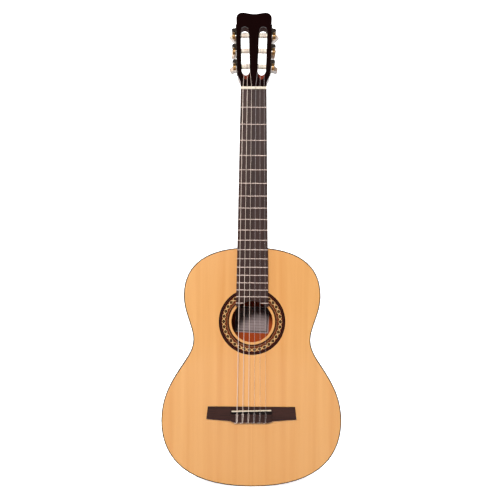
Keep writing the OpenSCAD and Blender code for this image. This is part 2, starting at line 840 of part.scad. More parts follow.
module gear(n) {
    way = tuner_way(n);
    color("darkgoldenrod") tuner_frame(n) difference() {
        union() {
            rod_x(gear_foot_r, gear_x0, gear_x0 + gear_w);
            for (i = [0 : tooth_count - 1]) rotate([360 * (i + 0.5) / tooth_count, 0, 0]) gear_tooth(way);
        }
        rod_x(shaft_r + string_gap / 2, -far, far);
    }
    color("gray") tuner_frame(n) translate([gear_x0 + gear_w, 0, 0]) slotted_head();
}

roller_in_x = slot_mid - slot_w / 2 - roller_seat;
string_hole_r = 1;
// The string's hole lies this many turns past the last turn, and this angle further on
hole_turns = 1.1;
hole_turn_on = 30;
function first_turn_x(n) = slot_mid + winding_shift[n - 1];
function turn_step(n) = string_d[n - 1] + turn_gap;
module roller(n) {
    hole_x = first_turn_x(n) + winding_way[n - 1] * (winding_turns[n - 1] + hole_turns) * turn_step(n);
    color("cornsilk") tuner_frame(n) difference() {
        union() {
            rod_x(roller_r, roller_in_x, -move_gap);
            rod_x(shaft_r, -move_gap, gear_x0 + gear_w);
        }
        translate([hole_x, 0, 0]) rotate([winding_end(n), 0, 0]) translate([0, 0, -far / 2])
            cylinder(r = string_hole_r, h = far);
    }
}
function winding_end(n) = touch_turn(n) - rest_turn - 360 * winding_turns[n - 1] - hole_turn_on;

// Worm: a thread of trapezoid section on a round core, right-handed on both edges
thread_turns = worm_len / worm_lead;
thread_steps = 12;
thread_foot_share = 0.4;
thread_tip_share = 0.2;
thread_profile = [
    [-thread_tip_share, thread_tip_r], [0, thread_tip_r], [thread_tip_share, thread_tip_r],
    [thread_foot_share, worm_foot_r], [1 - (1 - thread_foot_share) / 2, worm_foot_r], [1, worm_foot_r],
    [1 + (1 - thread_foot_share) / 2, worm_foot_r], [2 - thread_foot_share, worm_foot_r]
];
function thread_ring(y) =
    [for (c = thread_profile) let (a = 180 * c[0] + 360 * y / worm_lead)
        [-c[1] * sin(a), y, -c[1] * cos(a)]];
module worm_thread(way) {
    last = ceil(thread_steps * thread_turns);
    mirror([way < 0 ? 1 : 0, 0, 0]) loft([for (i = [0 : last]) thread_ring(worm_len * (i / last - 0.5))]);
}

module worm_frame(n) {
    tuner_frame(n) translate([gear_mid_x, 0, worm_away]) children();
}

ear_in = worm_len / 2 + move_gap;
ear_out = ear_in + ear_t;
module worm(n) {
    color("lightgray") worm_frame(n) {
        worm_thread(tuner_way(n));
        rod_y(worm_shaft_r, -ear_out, button_gap + button_len / 2, 0, 0);
    }
}

// Button: an oval paddle with crowned faces on a short collar
collar_r = 2.9;
collar_len = 3.5;
button_crown_r = 17;
button_round = 2.6;
oval_steps = 40;
module button(n) {
    half_len = (button_len - collar_len / 2) / 2;
    color("antiquewhite") worm_frame(n) rotate([0, tuner_way(n) * button_lean[n - 1], 0]) difference() {
        union() {
            rod_y(collar_r, button_gap, button_gap + collar_len, 0, 0);
            intersection() {
                translate([button_t / 2, button_gap + button_len - half_len, 0])
                    rotate([0, -90, 0]) linear_extrude(button_t) polygon([
                        for (i = [0 : oval_steps - 1]) let (a = 360 * i / oval_steps, e = 2 / button_round)
                            [button_w / 2 * signed_power(cos(a), e), half_len * signed_power(sin(a), e)]
                    ]);
                for (way = [-1, 1]) rod_y(button_crown_r, button_gap, button_gap + button_len,
                    way * (button_crown_r - button_t / 2), 0);
            }
        }
        rod_y(worm_shaft_r + string_gap / 2, 0, button_gap + button_len / 2 + string_gap, 0, 0);
    }
}

// Side plate with a pair of bearing ears for each worm
plate_below = 12;
plate_above = 17;
plate_low = roller_low - plate_below;
plate_high = roller_low + 2 * roller_step + plate_above;
screw_share = 0.62;
screw_len = 7;
screw_places = [
    plate_low, roller_low + screw_share * roller_step, roller_low + (1 + screw_share) * roller_step,
    plate_high - 1
];
module plate_screws(x1) {
    for (z = screw_places) translate([0, roller_depth, z]) rod_x(screw_r, -screw_len, x1 + cut);
}

module tuner_plate(way) {
    color([0.25, 0.22, 0.2]) edge_frame(way) difference() {
        union() {
            translate([0, roller_depth - plate_w / 2, plate_low])
                cube([plate_t, plate_w, plate_high - plate_low]);
            for (z = [plate_low, plate_high]) translate([0, roller_depth, z]) rod_x(plate_w / 2, 0, plate_t);
            for (i = [0 : 2], face = [-1, 1]) let (ear_y = roller_depth + face * (ear_in + ear_t / 2))
                translate([0, ear_y, roller_low + i * roller_step + worm_away]) {
                    rod_y(ear_r, -ear_t / 2, ear_t / 2, gear_mid_x, 0);
                    translate([0, -ear_t / 2, -ear_r]) cube([gear_mid_x, ear_t, 2 * ear_r]);
                }
        }
        for (i = [0 : 2]) translate([0, roller_depth, roller_low + i * roller_step]) {
            rod_x(shaft_r + run_gap, -cut, plate_t + cut);
            rod_y(worm_shaft_r + run_gap, -far, far, gear_mid_x, worm_away);
        }
        plate_screws(plate_t);
    }
}

module tuner_plate_bass() { tuner_plate(-1); }
module tuner_plate_treble() { tuner_plate(1); }

module tuner_screws() {
    color("gray") for (way = [-1, 1]) edge_frame(way) {
        plate_screws(plate_t - cut);
        for (z = screw_places) translate([plate_t, roller_depth, z]) slotted_head();
    }
}

// A round cord along a list of points; level is a direction that the cord never follows
function cord_ring(points, i, r, sides, level) =
    let (last = len(points) - 1)
    let (way = unit(points[min(i + 1, last)] - points[max(i - 1, 0)]))
    let (a = unit(cross(level, way)), b = cross(way, a))
    [for (k = [0 : sides - 1]) let (t = 360 * k / sides) points[i] + r * (cos(t) * a + sin(t) * b)];
module cord(points, r, sides, level) {
    loft([for (i = [0 : len(points) - 1]) cord_ring(points, i, r, sides, level)]);
}

// A place on the path round a roller: turn is the angle from the tip side towards the front
function around(n, x, r, turn) =
    from_edge(tuner_way(n), [x, roller_depth - r * sin(turn), roller_z(n) + r * cos(turn)]);

// The string leaves the nut's groove, touches its roller and follows it for a quarter turn
nut_clear = 0.8;
rest_turn = 90;
rest_steps = 6;
function run_r(n) = roller_r + move_gap + string_r(n);
function touch_turn(n) =
    let (q = to_edge(tuner_way(n), nut_point(n, nut_back_z + nut_clear)))
    let (dz = q[2] - roller_z(n), dy = roller_depth - q[1])
    atan2(dy, dz) - acos(run_r(n) / norm([dy, dz]));
function head_points(n) = [for (i = [0 : rest_steps])
    around(n, first_turn_x(n), run_r(n), touch_turn(n) - rest_turn * i / rest_steps)];

// The string comes out of the tie block's hole and is looped back over the block
function tie_points(n) =
    let (r = string_r(n), x = string_x(n, saddle_spread), over = -(bed_h + r + string_gap))
    let (rear = saddle_z - tie_rear, front = saddle_z - tie_front, low = -tie_hole_h)
    [
        [x + 1.7, low - 1.6, front + 1.6], [x + 1.5, over + 0.9, front + 1.6],
        [x + 1, over, front + 0.2], [x + 0.2, over, front - 4], [x, over, rear + 0.4],
        [x, over + 0.5, rear - r - 0.5], [x, (over + low) / 2, rear - r - 1.1],
        [x, low - 0.5, rear - r - 0.9], [x, low, rear - r + 0.1], [x, low, front]
    ];
function saddle_points(n) =
    let (at = nut_point(n, saddle_z), line = at[0] * tan(saddle_turn))
    [at + [0, 0.25, line - 1.1], at + [0, 0, line]];
function string_points(n) = concat(
    tie_points(n), saddle_points(n),
    [nut_point(n, nut_front_z), nut_point(n, nut_back_z + nut_clear)], head_points(n)
);
module string(n) {
    color(n > 3 ? "silver" : "whitesmoke") cord(string_points(n), string_r(n), 8, [1, 0, 0]);
}

// The turns that ride on the roller begin beside the end of the string's resting part
ring_count = 24;
function winding_points(n) =
    let (r = roller_r + string_r(n) + string_gap, start = touch_turn(n) - rest_turn)
    [for (i = [0 : ring_count * winding_turns[n - 1]]) let (t = i / ring_count)
        around(n, first_turn_x(n) + winding_way[n - 1] * turn_step(n) * (1 + t), r, start - 360 * t)];
module winding(n) {
    axle = unit(from_edge(tuner_way(n), [1, 0, 0]) - from_edge(tuner_way(n), [0, 0, 0]));
    color(n > 3 ? "silver" : "whitesmoke") cord(winding_points(n), string_r(n), 6, axle);
}
function least_gap(points, d) =
    min([for (i = [0 : len(points) - 1], j = [i + ring_count / 2 : 1 : len(points) - 1])
        norm(points[i] - points[j]) - d]);
for (n = [1 : 6]) echo(str("winding_", n, " least gap ", least_gap(winding_points(n), string_d[n - 1])));

soundboard();
rosette();
bindings();
side_bass();
side_treble();
back_plate();
linings();
tail_block();
harmonic_bars();
fan_braces();
back_braces();
paper_label();
neck();
heel_cap();
headstock();
head_veneer();
fingerboard();
frets();
nut();
bridge();
saddle();
tuner_plate_bass();
tuner_plate_treble();
tuner_screws();
for (n = [1 : 6]) {
    string(n);
    roller(n);
    gear(n);
    winding(n);
    worm(n);
    button(n);
}
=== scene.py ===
import math

import bmesh
import bpy
from mathutils import Matrix, Vector


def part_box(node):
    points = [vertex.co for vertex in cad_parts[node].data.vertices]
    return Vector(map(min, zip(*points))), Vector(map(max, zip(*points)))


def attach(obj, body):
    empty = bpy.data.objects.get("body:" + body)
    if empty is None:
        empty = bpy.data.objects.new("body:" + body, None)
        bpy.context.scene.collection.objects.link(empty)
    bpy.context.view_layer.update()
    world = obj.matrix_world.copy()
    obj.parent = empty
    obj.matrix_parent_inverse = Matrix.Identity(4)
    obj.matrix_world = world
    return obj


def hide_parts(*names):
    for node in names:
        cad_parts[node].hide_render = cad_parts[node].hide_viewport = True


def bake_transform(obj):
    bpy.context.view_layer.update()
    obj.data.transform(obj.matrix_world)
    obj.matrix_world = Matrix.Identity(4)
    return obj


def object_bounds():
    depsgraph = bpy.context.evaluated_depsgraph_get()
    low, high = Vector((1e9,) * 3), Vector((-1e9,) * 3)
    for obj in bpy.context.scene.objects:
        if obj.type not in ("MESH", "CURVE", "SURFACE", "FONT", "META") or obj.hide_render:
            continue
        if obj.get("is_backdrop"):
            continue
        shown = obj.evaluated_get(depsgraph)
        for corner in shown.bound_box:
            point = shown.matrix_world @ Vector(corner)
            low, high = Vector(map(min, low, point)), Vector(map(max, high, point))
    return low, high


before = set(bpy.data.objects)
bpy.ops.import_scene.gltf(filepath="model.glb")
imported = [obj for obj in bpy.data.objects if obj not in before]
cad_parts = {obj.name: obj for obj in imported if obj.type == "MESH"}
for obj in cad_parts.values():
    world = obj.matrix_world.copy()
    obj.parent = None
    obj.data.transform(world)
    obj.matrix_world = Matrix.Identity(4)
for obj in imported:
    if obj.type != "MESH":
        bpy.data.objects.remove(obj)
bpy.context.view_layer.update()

bl_info = {
    "name": "Classical guitar",
    "version": (1, 0, 0),
    "blender": (4, 5, 0),
    "location": "3D View > Sidebar > Guitar",
    "description": "Dresses the pieces of a classical guitar and sets up its studio",
    "category": "Add Mesh",
}

ROOT_BODY = "guitar"
MM = 0.001
STRING_COUNT = 6
TREBLE_COUNT = 3
STRING_NUMBERS = range(1, STRING_COUNT + 1)

# Places along the strings, up from the hanger line, and the frame of the head
NUT_FRONT_Z = -21 * MM
NUT_BACK_Z = -15.5 * MM
SCALE_LENGTH = 650 * MM
SADDLE_SETBACK = 1 * MM
SADDLE_Z = NUT_FRONT_Z - SCALE_LENGTH - SADDLE_SETBACK
JOINT_Z = NUT_FRONT_Z - SCALE_LENGTH / 2
JOINT_TO_HOLE = 146 * MM
HOLE_Z = JOINT_Z - JOINT_TO_HOLE
HEAD_TILT = math.radians(15)
EDGE_TAPER = math.radians(1.8)
EDGE_HALF = 34.7 * MM
EDGE_MID = 83.5 * MM

# Tuning machines, in the frame of the head's edge
ROLLER_LOW = 48.5 * MM
ROLLER_STEP = 35 * MM
ROLLER_DEPTH = 9 * MM
ROLLER_RADIUS = 5 * MM
SLOT_MIDDLE = -17 * MM
SLOT_HALF = 8.4 * MM
SLOT_TOP = 134 * MM
SLOT_MARGIN = 0.5 * MM
RAMP_TOP = 34 * MM
RAMP_NORMAL = -0.05
FLAT_NORMAL = 0.98

# Strings, from the first on the treble side to the sixth on the bass side
STRING_DIAMETERS = [d * MM for d in (0.71, 0.82, 1.02, 0.74, 0.89, 1.09)]
WINDING_TURNS = (4, 4, 4, 3, 3, 3)
WINDING_SHIFTS = [s * MM for s in (4.4, -3.1, -1.7, -1.7, -3.6, 1.9)]
WINDING_WAYS = (-1, 1, 1, 1, 1, -1)
TURN_GAP = 0.5 * MM
NUT_SPREAD = 42.8 * MM
SADDLE_SPREAD = 58 * MM
NUT_HEIGHT = 8.2 * MM
SADDLE_HEIGHT = 12.56 * MM
SADDLE_TURN = math.radians(1.6)
TIE_HEIGHT = 8.56 * MM
TIE_HOLE_HEIGHT = 5.6 * MM
TIE_FRONT_Z = SADDLE_Z - 7.5 * MM
TIE_REAR_Z = SADDLE_Z - 24 * MM


class GuitarColours(bpy.types.PropertyGroup):
    """Colours of the woods, plastics and metals"""

    spruce: bpy.props.FloatVectorProperty(
        name="Spruce", description="Soundboard between its grain lines",
        subtype="COLOR", size=3, min=0, max=1, default=(0.98, 0.54, 0.185))
    spruce_line: bpy.props.FloatVectorProperty(
        name="Spruce lines", description="Late growth in the soundboard's grain",
        subtype="COLOR", size=3, min=0, max=1, default=(0.73, 0.275, 0.045))
    mahogany: bpy.props.FloatVectorProperty(
        name="Mahogany", description="Back, sides and neck",
        subtype="COLOR", size=3, min=0, max=1, default=(0.30, 0.080, 0.026))
    mahogany_dark: bpy.props.FloatVectorProperty(
        name="Mahogany pores", description="Dark streaks of the back, sides and neck",
        subtype="COLOR", size=3, min=0, max=1, default=(0.11, 0.028, 0.012))
    bare_mahogany: bpy.props.FloatVectorProperty(
        name="Bare mahogany", description="Unlacquered inside of the back",
        subtype="COLOR", size=3, min=0, max=1, default=(0.55, 0.065, 0.006))
    slot_wood: bpy.props.FloatVectorProperty(
        name="Slot wood", description="Bare wood of the string ramps",
        subtype="COLOR", size=3, min=0, max=1, default=(0.19, 0.026, 0.011))
    # Painted shade: the slot walls get a darker colour than the wood, for the shade inside the slots
    slot_wall: bpy.props.FloatVectorProperty(
        name="Slot walls", description="Walls of the head's slots, darkened as painted shade",
        subtype="COLOR", size=3, min=0, max=1, default=(0.060, 0.012, 0.009))
    rosewood: bpy.props.FloatVectorProperty(
        name="Rosewood", description="Fingerboard and bridge",
        subtype="COLOR", size=3, min=0, max=1, default=(0.080, 0.030, 0.023))
    rosewood_dark: bpy.props.FloatVectorProperty(
        name="Rosewood streaks", description="Dark streaks of the fingerboard and bridge",
        subtype="COLOR", size=3, min=0, max=1, default=(0.026, 0.012, 0.010))
    veneer: bpy.props.FloatVectorProperty(
        name="Head veneer", description="Face of the head",
        subtype="COLOR", size=3, min=0, max=1, default=(0.008, 0.0012, 0.0012))
    binding: bpy.props.FloatVectorProperty(
        name="Binding", description="Edges of the body and the heel cap",
        subtype="COLOR", size=3, min=0, max=1, default=(0.018, 0.007, 0.005))
    light_wood: bpy.props.FloatVectorProperty(
        name="Bracing", description="Linings, bars and braces inside the body",
        subtype="COLOR", size=3, min=0, max=1, default=(0.52, 0.31, 0.14))
    ivory: bpy.props.FloatVectorProperty(
        name="Ivory", description="Nut and saddle",
        subtype="COLOR", size=3, min=0, max=1, default=(0.73, 0.62, 0.46))
    cream: bpy.props.FloatVectorProperty(
        name="Cream", description="Rollers of the tuning machines",
        subtype="COLOR", size=3, min=0, max=1, default=(0.96, 0.83, 0.68))
    pearl: bpy.props.FloatVectorProperty(
        name="Pearl", description="Buttons of the tuning machines",
        subtype="COLOR", size=3, min=0, max=1, default=(0.80, 0.58, 0.44))
    brass: bpy.props.FloatVectorProperty(
        name="Brass", description="Gears of the tuning machines",
        subtype="COLOR", size=3, min=0, max=1, default=(0.32, 0.19, 0.08))
    dark_steel: bpy.props.FloatVectorProperty(
        name="Dark steel", description="Side plates of the tuning machines",
        subtype="COLOR", size=3, min=0, max=1, default=(0.055, 0.042, 0.034))
    nickel: bpy.props.FloatVectorProperty(
        name="Nickel", description="Screws and worms",
        subtype="COLOR", size=3, min=0, max=1, default=(0.60, 0.55, 0.51))
    fret_metal: bpy.props.FloatVectorProperty(
        name="Fret metal", description="Frets",
        subtype="COLOR", size=3, min=0, max=1, default=(0.36, 0.28, 0.245))
    paper: bpy.props.FloatVectorProperty(
        name="Label paper", description="Label seen through the soundhole",
        subtype="COLOR", size=3, min=0, max=1, default=(0.41, 0.31, 0.305))


class GuitarSizes(bpy.types.PropertyGroup):
    """Soft edges and the studio's places"""

    wood_edge: bpy.props.FloatProperty(
        name="Wood edge", description="Radius of a sanded wooden edge",
        unit="LENGTH", min=0.0, default=0.0006)
    metal_edge: bpy.props.FloatProperty(
        name="Metal edge", description="Radius of a machined edge",
        unit="LENGTH", min=0.0, default=0.00015)
    button_edge: bpy.props.FloatProperty(
        name="Button edge", description="Radius round the buttons' rims",
        unit="LENGTH", min=0.0, default=0.0011)
    camera_distance: bpy.props.FloatProperty(
        name="Camera distance", description="From the camera to the soundboard",
        unit="LENGTH", min=0.5, default=2.1)
    camera_width: bpy.props.FloatProperty(
        name="Frame width", description="Width of the picture at the soundboard",
        unit="LENGTH", min=0.1, default=1.0155)
    camera_x: bpy.props.FloatProperty(
        name="Camera side", description="Camera's place to the side",
        unit="LENGTH", default=-0.0051)
    camera_z: bpy.props.FloatProperty(
        name="Camera height", description="Camera's height against the hanger line",
        unit="LENGTH", default=-0.3465)
    camera_roll: bpy.props.FloatProperty(
        name="Camera roll", description="Turn of the camera about its view",
        subtype="ANGLE", default=math.radians(0.4))


def colours():
    return bpy.context.scene.guitar_colours


def sizes():
    return bpy.context.scene.guitar_sizes


# Shader building blocks

def link(tree, source, target):
    tree.links.new(source, target)


def set_socket(tree, socket, value):
    """Links an output to a socket, or sets the socket's own value."""
    if isinstance(value, bpy.types.NodeSocket):
        link(tree, value, socket)
    else:
        socket.default_value = value


def math_node(tree, operation, first, second=0.0, third=0.0, clamp=False):
    node = tree.nodes.new("ShaderNodeMath")
    node.operation = operation
    node.use_clamp = clamp
    for socket, value in zip(node.inputs, (first, second, third)):
        set_socket(tree, socket, value)
    return node.outputs[0]


def mix_colours(tree, factor, first, second):
    node = tree.nodes.new("ShaderNodeMix")
    node.data_type = "RGBA"
    set_socket(tree, node.inputs["Factor"], factor)
    for socket, value in ((node.inputs[6], first), (node.inputs[7], second)):
        linked = isinstance(value, bpy.types.NodeSocket)
        set_socket(tree, socket, value if linked else (*value, 1.0))
    return node.outputs[2]


def darker(colour, share):
    return [share * value for value in colour]


def noise(tree, vector, scale, detail=4.0, rough=0.55, distortion=0.0):
    node = tree.nodes.new("ShaderNodeTexNoise")
    set_socket(tree, node.inputs["Vector"], vector)
    node.inputs["Scale"].default_value = scale
    node.inputs["Detail"].default_value = detail
    node.inputs["Roughness"].default_value = rough
    node.inputs["Distortion"].default_value = distortion
    return node.outputs["Fac"]


def object_place(tree, scale=(1, 1, 1), offset=(0, 0, 0), turn=0.0, matched=False):
    """Object coordinates, scaled, turned about Y and moved; matched makes both halves alike."""
    place = tree.nodes.new("ShaderNodeTexCoord").outputs["Object"]
    if matched:
        fold = tree.nodes.new("ShaderNodeVectorMath")
        fold.operation = "ABSOLUTE"
        link(tree, place, fold.inputs[0])
        place = fold.outputs[0]
    mapping = tree.nodes.new("ShaderNodeMapping")
    mapping.inputs["Scale"].default_value = scale
    mapping.inputs["Rotation"].default_value = (0, turn, 0)
    mapping.inputs["Location"].default_value = offset
    link(tree, place, mapping.inputs["Vector"])
    return mapping.outputs["Vector"]


def split(tree, vector):
    """The X, Y and Z of a vector."""
    parts = tree.nodes.new("ShaderNodeSeparateXYZ")
    link(tree, vector, parts.inputs[0])
    return parts.outputs


def new_group(name, inputs, outputs):
    """A shader node group with its named sockets; gives the tree, its inputs and its outputs."""
    tree = bpy.data.node_groups.new(name, "ShaderNodeTree")
    for label, kind in inputs:
        tree.interface.new_socket(label, in_out="INPUT", socket_type=kind)
    for label, kind in outputs:
        tree.interface.new_socket(label, in_out="OUTPUT", socket_type=kind)
    start = tree.nodes.new("NodeGroupInput")
    end = tree.nodes.new("NodeGroupOutput")
    return tree, start.outputs, end.inputs


def wood_grain_group():
    """Growth lines along Z of the vector it gets, with streaks, fibres and pores between them."""
    tree, given, out = new_group(
        "Wood grain", [("Vector", "NodeSocketVector")],
        [("Lines", "NodeSocketFloat"), ("Streaks", "NodeSocketFloat"),
         ("Fibres", "NodeSocketFloat"), ("Pores", "NodeSocketFloat")])
    wave = tree.nodes.new("ShaderNodeTexWave")
    wave.bands_direction = "X"
    wave.wave_profile = "SAW"
    wave.inputs["Scale"].default_value = 0.32
    wave.inputs["Distortion"].default_value = 2.2
    wave.inputs["Detail"].default_value = 2.0
    wave.inputs["Detail Scale"].default_value = 0.35
    link(tree, given["Vector"], wave.inputs["Vector"])
    link(tree, wave.outputs["Fac"], out["Lines"])
    streaks = noise(tree, given["Vector"], 0.12, 3.0, 0.5, 0.5)
    link(tree, math_node(tree, "MULTIPLY_ADD", streaks, 1.8, -0.4, clamp=True), out["Streaks"])
    link(tree, noise(tree, given["Vector"], 1.7, 6.0, 0.7, 0.2), out["Fibres"])
    pores = noise(tree, given["Vector"], 3.1, 2.0, 0.5, 0.0)
    narrow = tree.nodes.new("ShaderNodeMapRange")
    narrow.interpolation_type = "SMOOTHSTEP"
    narrow.inputs["From Min"].default_value = 0.56
    narrow.inputs["From Max"].default_value = 0.68
    link(tree, pores, narrow.inputs["Value"])
    link(tree, narrow.outputs["Result"], out["Pores"])
    return tree


def surface_haze_group():
    """Slow and fine unevenness of a polished surface, for its roughness."""
    tree, given, out = new_group(
        "Surface haze", [("Low", "NodeSocketFloat"), ("High", "NodeSocketFloat")],
        [("Roughness", "NodeSocketFloat"), ("Unevenness", "NodeSocketFloat")])
    place = object_place(tree)
    slow = noise(tree, place, 9.0, 3.0, 0.6, 0.3)
    fine = noise(tree, place, 260.0, 3.0, 0.6, 0.0)
    both = math_node(tree, "MULTIPLY_ADD", fine, 0.35, math_node(tree, "MULTIPLY", slow, 0.65))
    spread = math_node(tree, "SUBTRACT", given["High"], given["Low"])
    link(tree, math_node(tree, "MULTIPLY_ADD", both, spread, given["Low"]), out["Roughness"])
    link(tree, both, out["Unevenness"])
    return tree


def place_group(tree, name, **values):
    """One copy of a shared group in a material; values are its inputs."""
    makers = {"Wood grain": wood_grain_group, "Surface haze": surface_haze_group}
    node = tree.nodes.new("ShaderNodeGroup")
    node.node_tree = bpy.data.node_groups.get(name) or makers[name]()
    for label, value in values.items():
        set_socket(tree, node.inputs[label], value)
    return node.outputs


def new_material(name):
    """A new material, its node tree and the inputs of its Principled shader."""
    material = bpy.data.materials.new(name)
    material.use_nodes = True
    return material, material.node_tree, material.node_tree.nodes["Principled BSDF"].inputs


def add_bump(tree, shader, height, strength, distance):
    bump = tree.nodes.new("ShaderNodeBump")
    bump.inputs["Strength"].default_value = strength
    bump.inputs["Distance"].default_value = distance
    link(tree, height, bump.inputs["Height"])
    link(tree, bump.outputs["Normal"], shader["Normal"])


def add_haze(tree, shader, low, high):
    """Roughness that wanders between two values; gives the outputs of its group."""
    haze = place_group(tree, "Surface haze", Low=low, High=high)
    link(tree, haze["Roughness"], shader["Roughness"])
    return haze


def wood(name, light, dark, scale, weights, rough, coat=0.0, matched=False, bump=0.12, gloss=0.5):
    """A wood: weights are the shares of lines, streaks, fibres and pores in its dark colour."""
    material, tree, shader = new_material(name)
    grain = place_group(tree, "Wood grain", Vector=object_place(tree, scale, matched=matched))
    dark_share = 0.0
    for label, weight in zip(("Lines", "Streaks", "Fibres", "Pores"), weights):
        dark_share = math_node(tree, "MULTIPLY_ADD", grain[label], weight, dark_share, clamp=True)
    link(tree, mix_colours(tree, dark_share, light, dark), shader["Base Color"])
    add_haze(tree, shader, *rough)
    shader["Specular IOR Level"].default_value = gloss
    shader["Coat Weight"].default_value = coat
    shader["Coat Roughness"].default_value = 0.08
    add_bump(tree, shader, math_node(tree, "MULTIPLY_ADD", grain["Pores"], -0.7, grain["Fibres"]),
             bump, 0.0002)
    return material


# Painted shade in the channel between the saddle and the tie block
CHANNEL_Z = SADDLE_Z - 4.5 * MM
CHANNEL_HALF = 3 * MM
CHANNEL_REACH = 42 * MM
CHANNEL_SHARE = 0.85
CHANNEL_SHADE = (0.004, 0.002, 0.002)


def paint_channel_shade(material):
    """Darkens the channel between the saddle and the tie block with painted shade."""
    tree = material.node_tree
    colour = tree.nodes["Principled BSDF"].inputs["Base Color"]
    place = split(tree, object_place(tree))
    along = math_node(tree, "COMPARE", place["Z"], CHANNEL_Z, CHANNEL_HALF)
    across = math_node(tree, "LESS_THAN", math_node(tree, "ABSOLUTE", place["X"]), CHANNEL_REACH)
    share = math_node(tree, "MULTIPLY", math_node(tree, "MULTIPLY", along, across), CHANNEL_SHARE)
    link(tree, mix_colours(tree, share, colour.links[0].from_socket, CHANNEL_SHADE), colour)
    return material


def metal(name, colour, rough, brushed=(900, 900, 900), worn=0.25):
    """A worked metal with fine tool lines and a slow tarnish."""
    material, tree, shader = new_material(name)
    lines = noise(tree, object_place(tree, brushed), 1.0, 4.0, 0.6)
    tarnish = noise(tree, object_place(tree), 120.0, 4.0, 0.6, 0.4)
    both = math_node(tree, "MULTIPLY", tarnish, lines)
    share = math_node(tree, "MULTIPLY", both, 4 * worn, clamp=True)
    link(tree, mix_colours(tree, share, colour, darker(colour, 0.45)), shader["Base Color"])
    shader["Metallic"].default_value = 1.0
    add_haze(tree, shader, *rough)
    add_bump(tree, shader, lines, 0.08, 0.0001)
    return material


def plastic(name, colour, second, swirl, rough, coat=0.0):
    """A moulded plastic or bone with soft swirls of a second colour."""
    material, tree, shader = new_material(name)
    flow = noise(tree, object_place(tree), swirl, 5.0, 0.6, 1.8)
    share = math_node(tree, "MULTIPLY_ADD", flow, 2.4, -0.7, clamp=True)
    link(tree, mix_colours(tree, share, colour, second), shader["Base Color"])
    haze = add_haze(tree, shader, *rough)
    shader["Coat Weight"].default_value = coat
    shader["Coat Roughness"].default_value = 0.1
    shader["Subsurface Weight"].default_value = 0.12
    shader["Subsurface Radius"].default_value = (0.002, 0.0015, 0.001)
    add_bump(tree, shader, haze["Unevenness"], 0.04, 0.0003)
    return material


NYLON_CLEAR = (0.90, 0.78, 0.76)
NYLON_CLOUDY = (0.80, 0.68, 0.66)
NYLON_COVER = 0.22


def nylon(name):
    """Clear nylon, slightly hazy."""
    material, tree, shader = new_material(name)
    cloud = noise(tree, object_place(tree, (400, 400, 40)), 1.0, 3.0, 0.5)
    link(tree, mix_colours(tree, cloud, NYLON_CLEAR, NYLON_CLOUDY), shader["Base Color"])
    add_haze(tree, shader, 0.25, 0.40)
    shader["Alpha"].default_value = NYLON_COVER
    shader["IOR"].default_value = 1.53
    return material


WIRE_PITCH = 0.22 * MM
# The groove colour is painted shade between the turns of wire
WIRE_GROOVE_SHADE = (0.65, 0.51, 0.43)
WIRE_RIDGE = (0.99, 0.83, 0.73)


def wound_wire(name):
    """Silvered wire wound round the bass strings, by the length along each string, with painted shade in
    the grooves between the turns.
    """
    material, tree, shader = new_material(name)
    along = tree.nodes.new("ShaderNodeAttribute")
    along.attribute_name = "along"
    turn = math_node(tree, "MULTIPLY", along.outputs["Fac"], math.tau / WIRE_PITCH)
    ridge = math_node(tree, "MULTIPLY_ADD", math_node(tree, "SINE", turn), 0.5, 0.5)
    link(tree, mix_colours(tree, ridge, WIRE_GROOVE_SHADE, WIRE_RIDGE), shader["Base Color"])
    shader["Metallic"].default_value = 0.35
    add_haze(tree, shader, 0.22, 0.42)
    add_bump(tree, shader, ridge, 0.25, 0.00005)
    return material


# Rosette in millimetres; its bands go from the inside out, each with its outer radius and colour
IN_MILLIMETRES = (1 / MM, 1 / MM, 1 / MM)
ROSETTE_IN = 46.8
ROSETTE_OUT = 67.6
BLACK_LINE = (0.010, 0.005, 0.004)
TAN = (0.90, 0.54, 0.22)
RED_BROWN = (0.20, 0.040, 0.014)
DARK_BROWN = (0.013, 0.003, 0.003)
ROSETTE_BANDS = (
    (48.2, BLACK_LINE), (48.9, RED_BROWN), (50.3, BLACK_LINE), (50.6, TAN), (52.9, RED_BROWN),
    (53.4, BLACK_LINE), (53.8, RED_BROWN), (61.0, TAN), (61.6, RED_BROWN), (64.2, DARK_BROWN),
    (64.6, RED_BROWN), (ROSETTE_OUT, DARK_BROWN))
MOSAIC_MIDDLE = 57.5
MOSAIC_COUNT = 34
MOSAIC_TILE = 0.62
MOSAIC_HALF = 3.2
DIAMOND = (3.4, 3.1)
CORE_REACH = 0.7
CORE_COLOUR = (0.22, 0.09, 0.03)
CORNER = (5.3, 3.1)
CORNER_DIAMOND = (3.5, 2.5)


def diamond_mask(tree, along, across, reach):
    """One inside a diamond that reaches so far along and across its middle, and zero outside."""
    shares = [math_node(tree, "DIVIDE", *pair) for pair in zip((along, across), reach)]
    return math_node(tree, "LESS_THAN", math_node(tree, "ADD", *shares), 1.0)


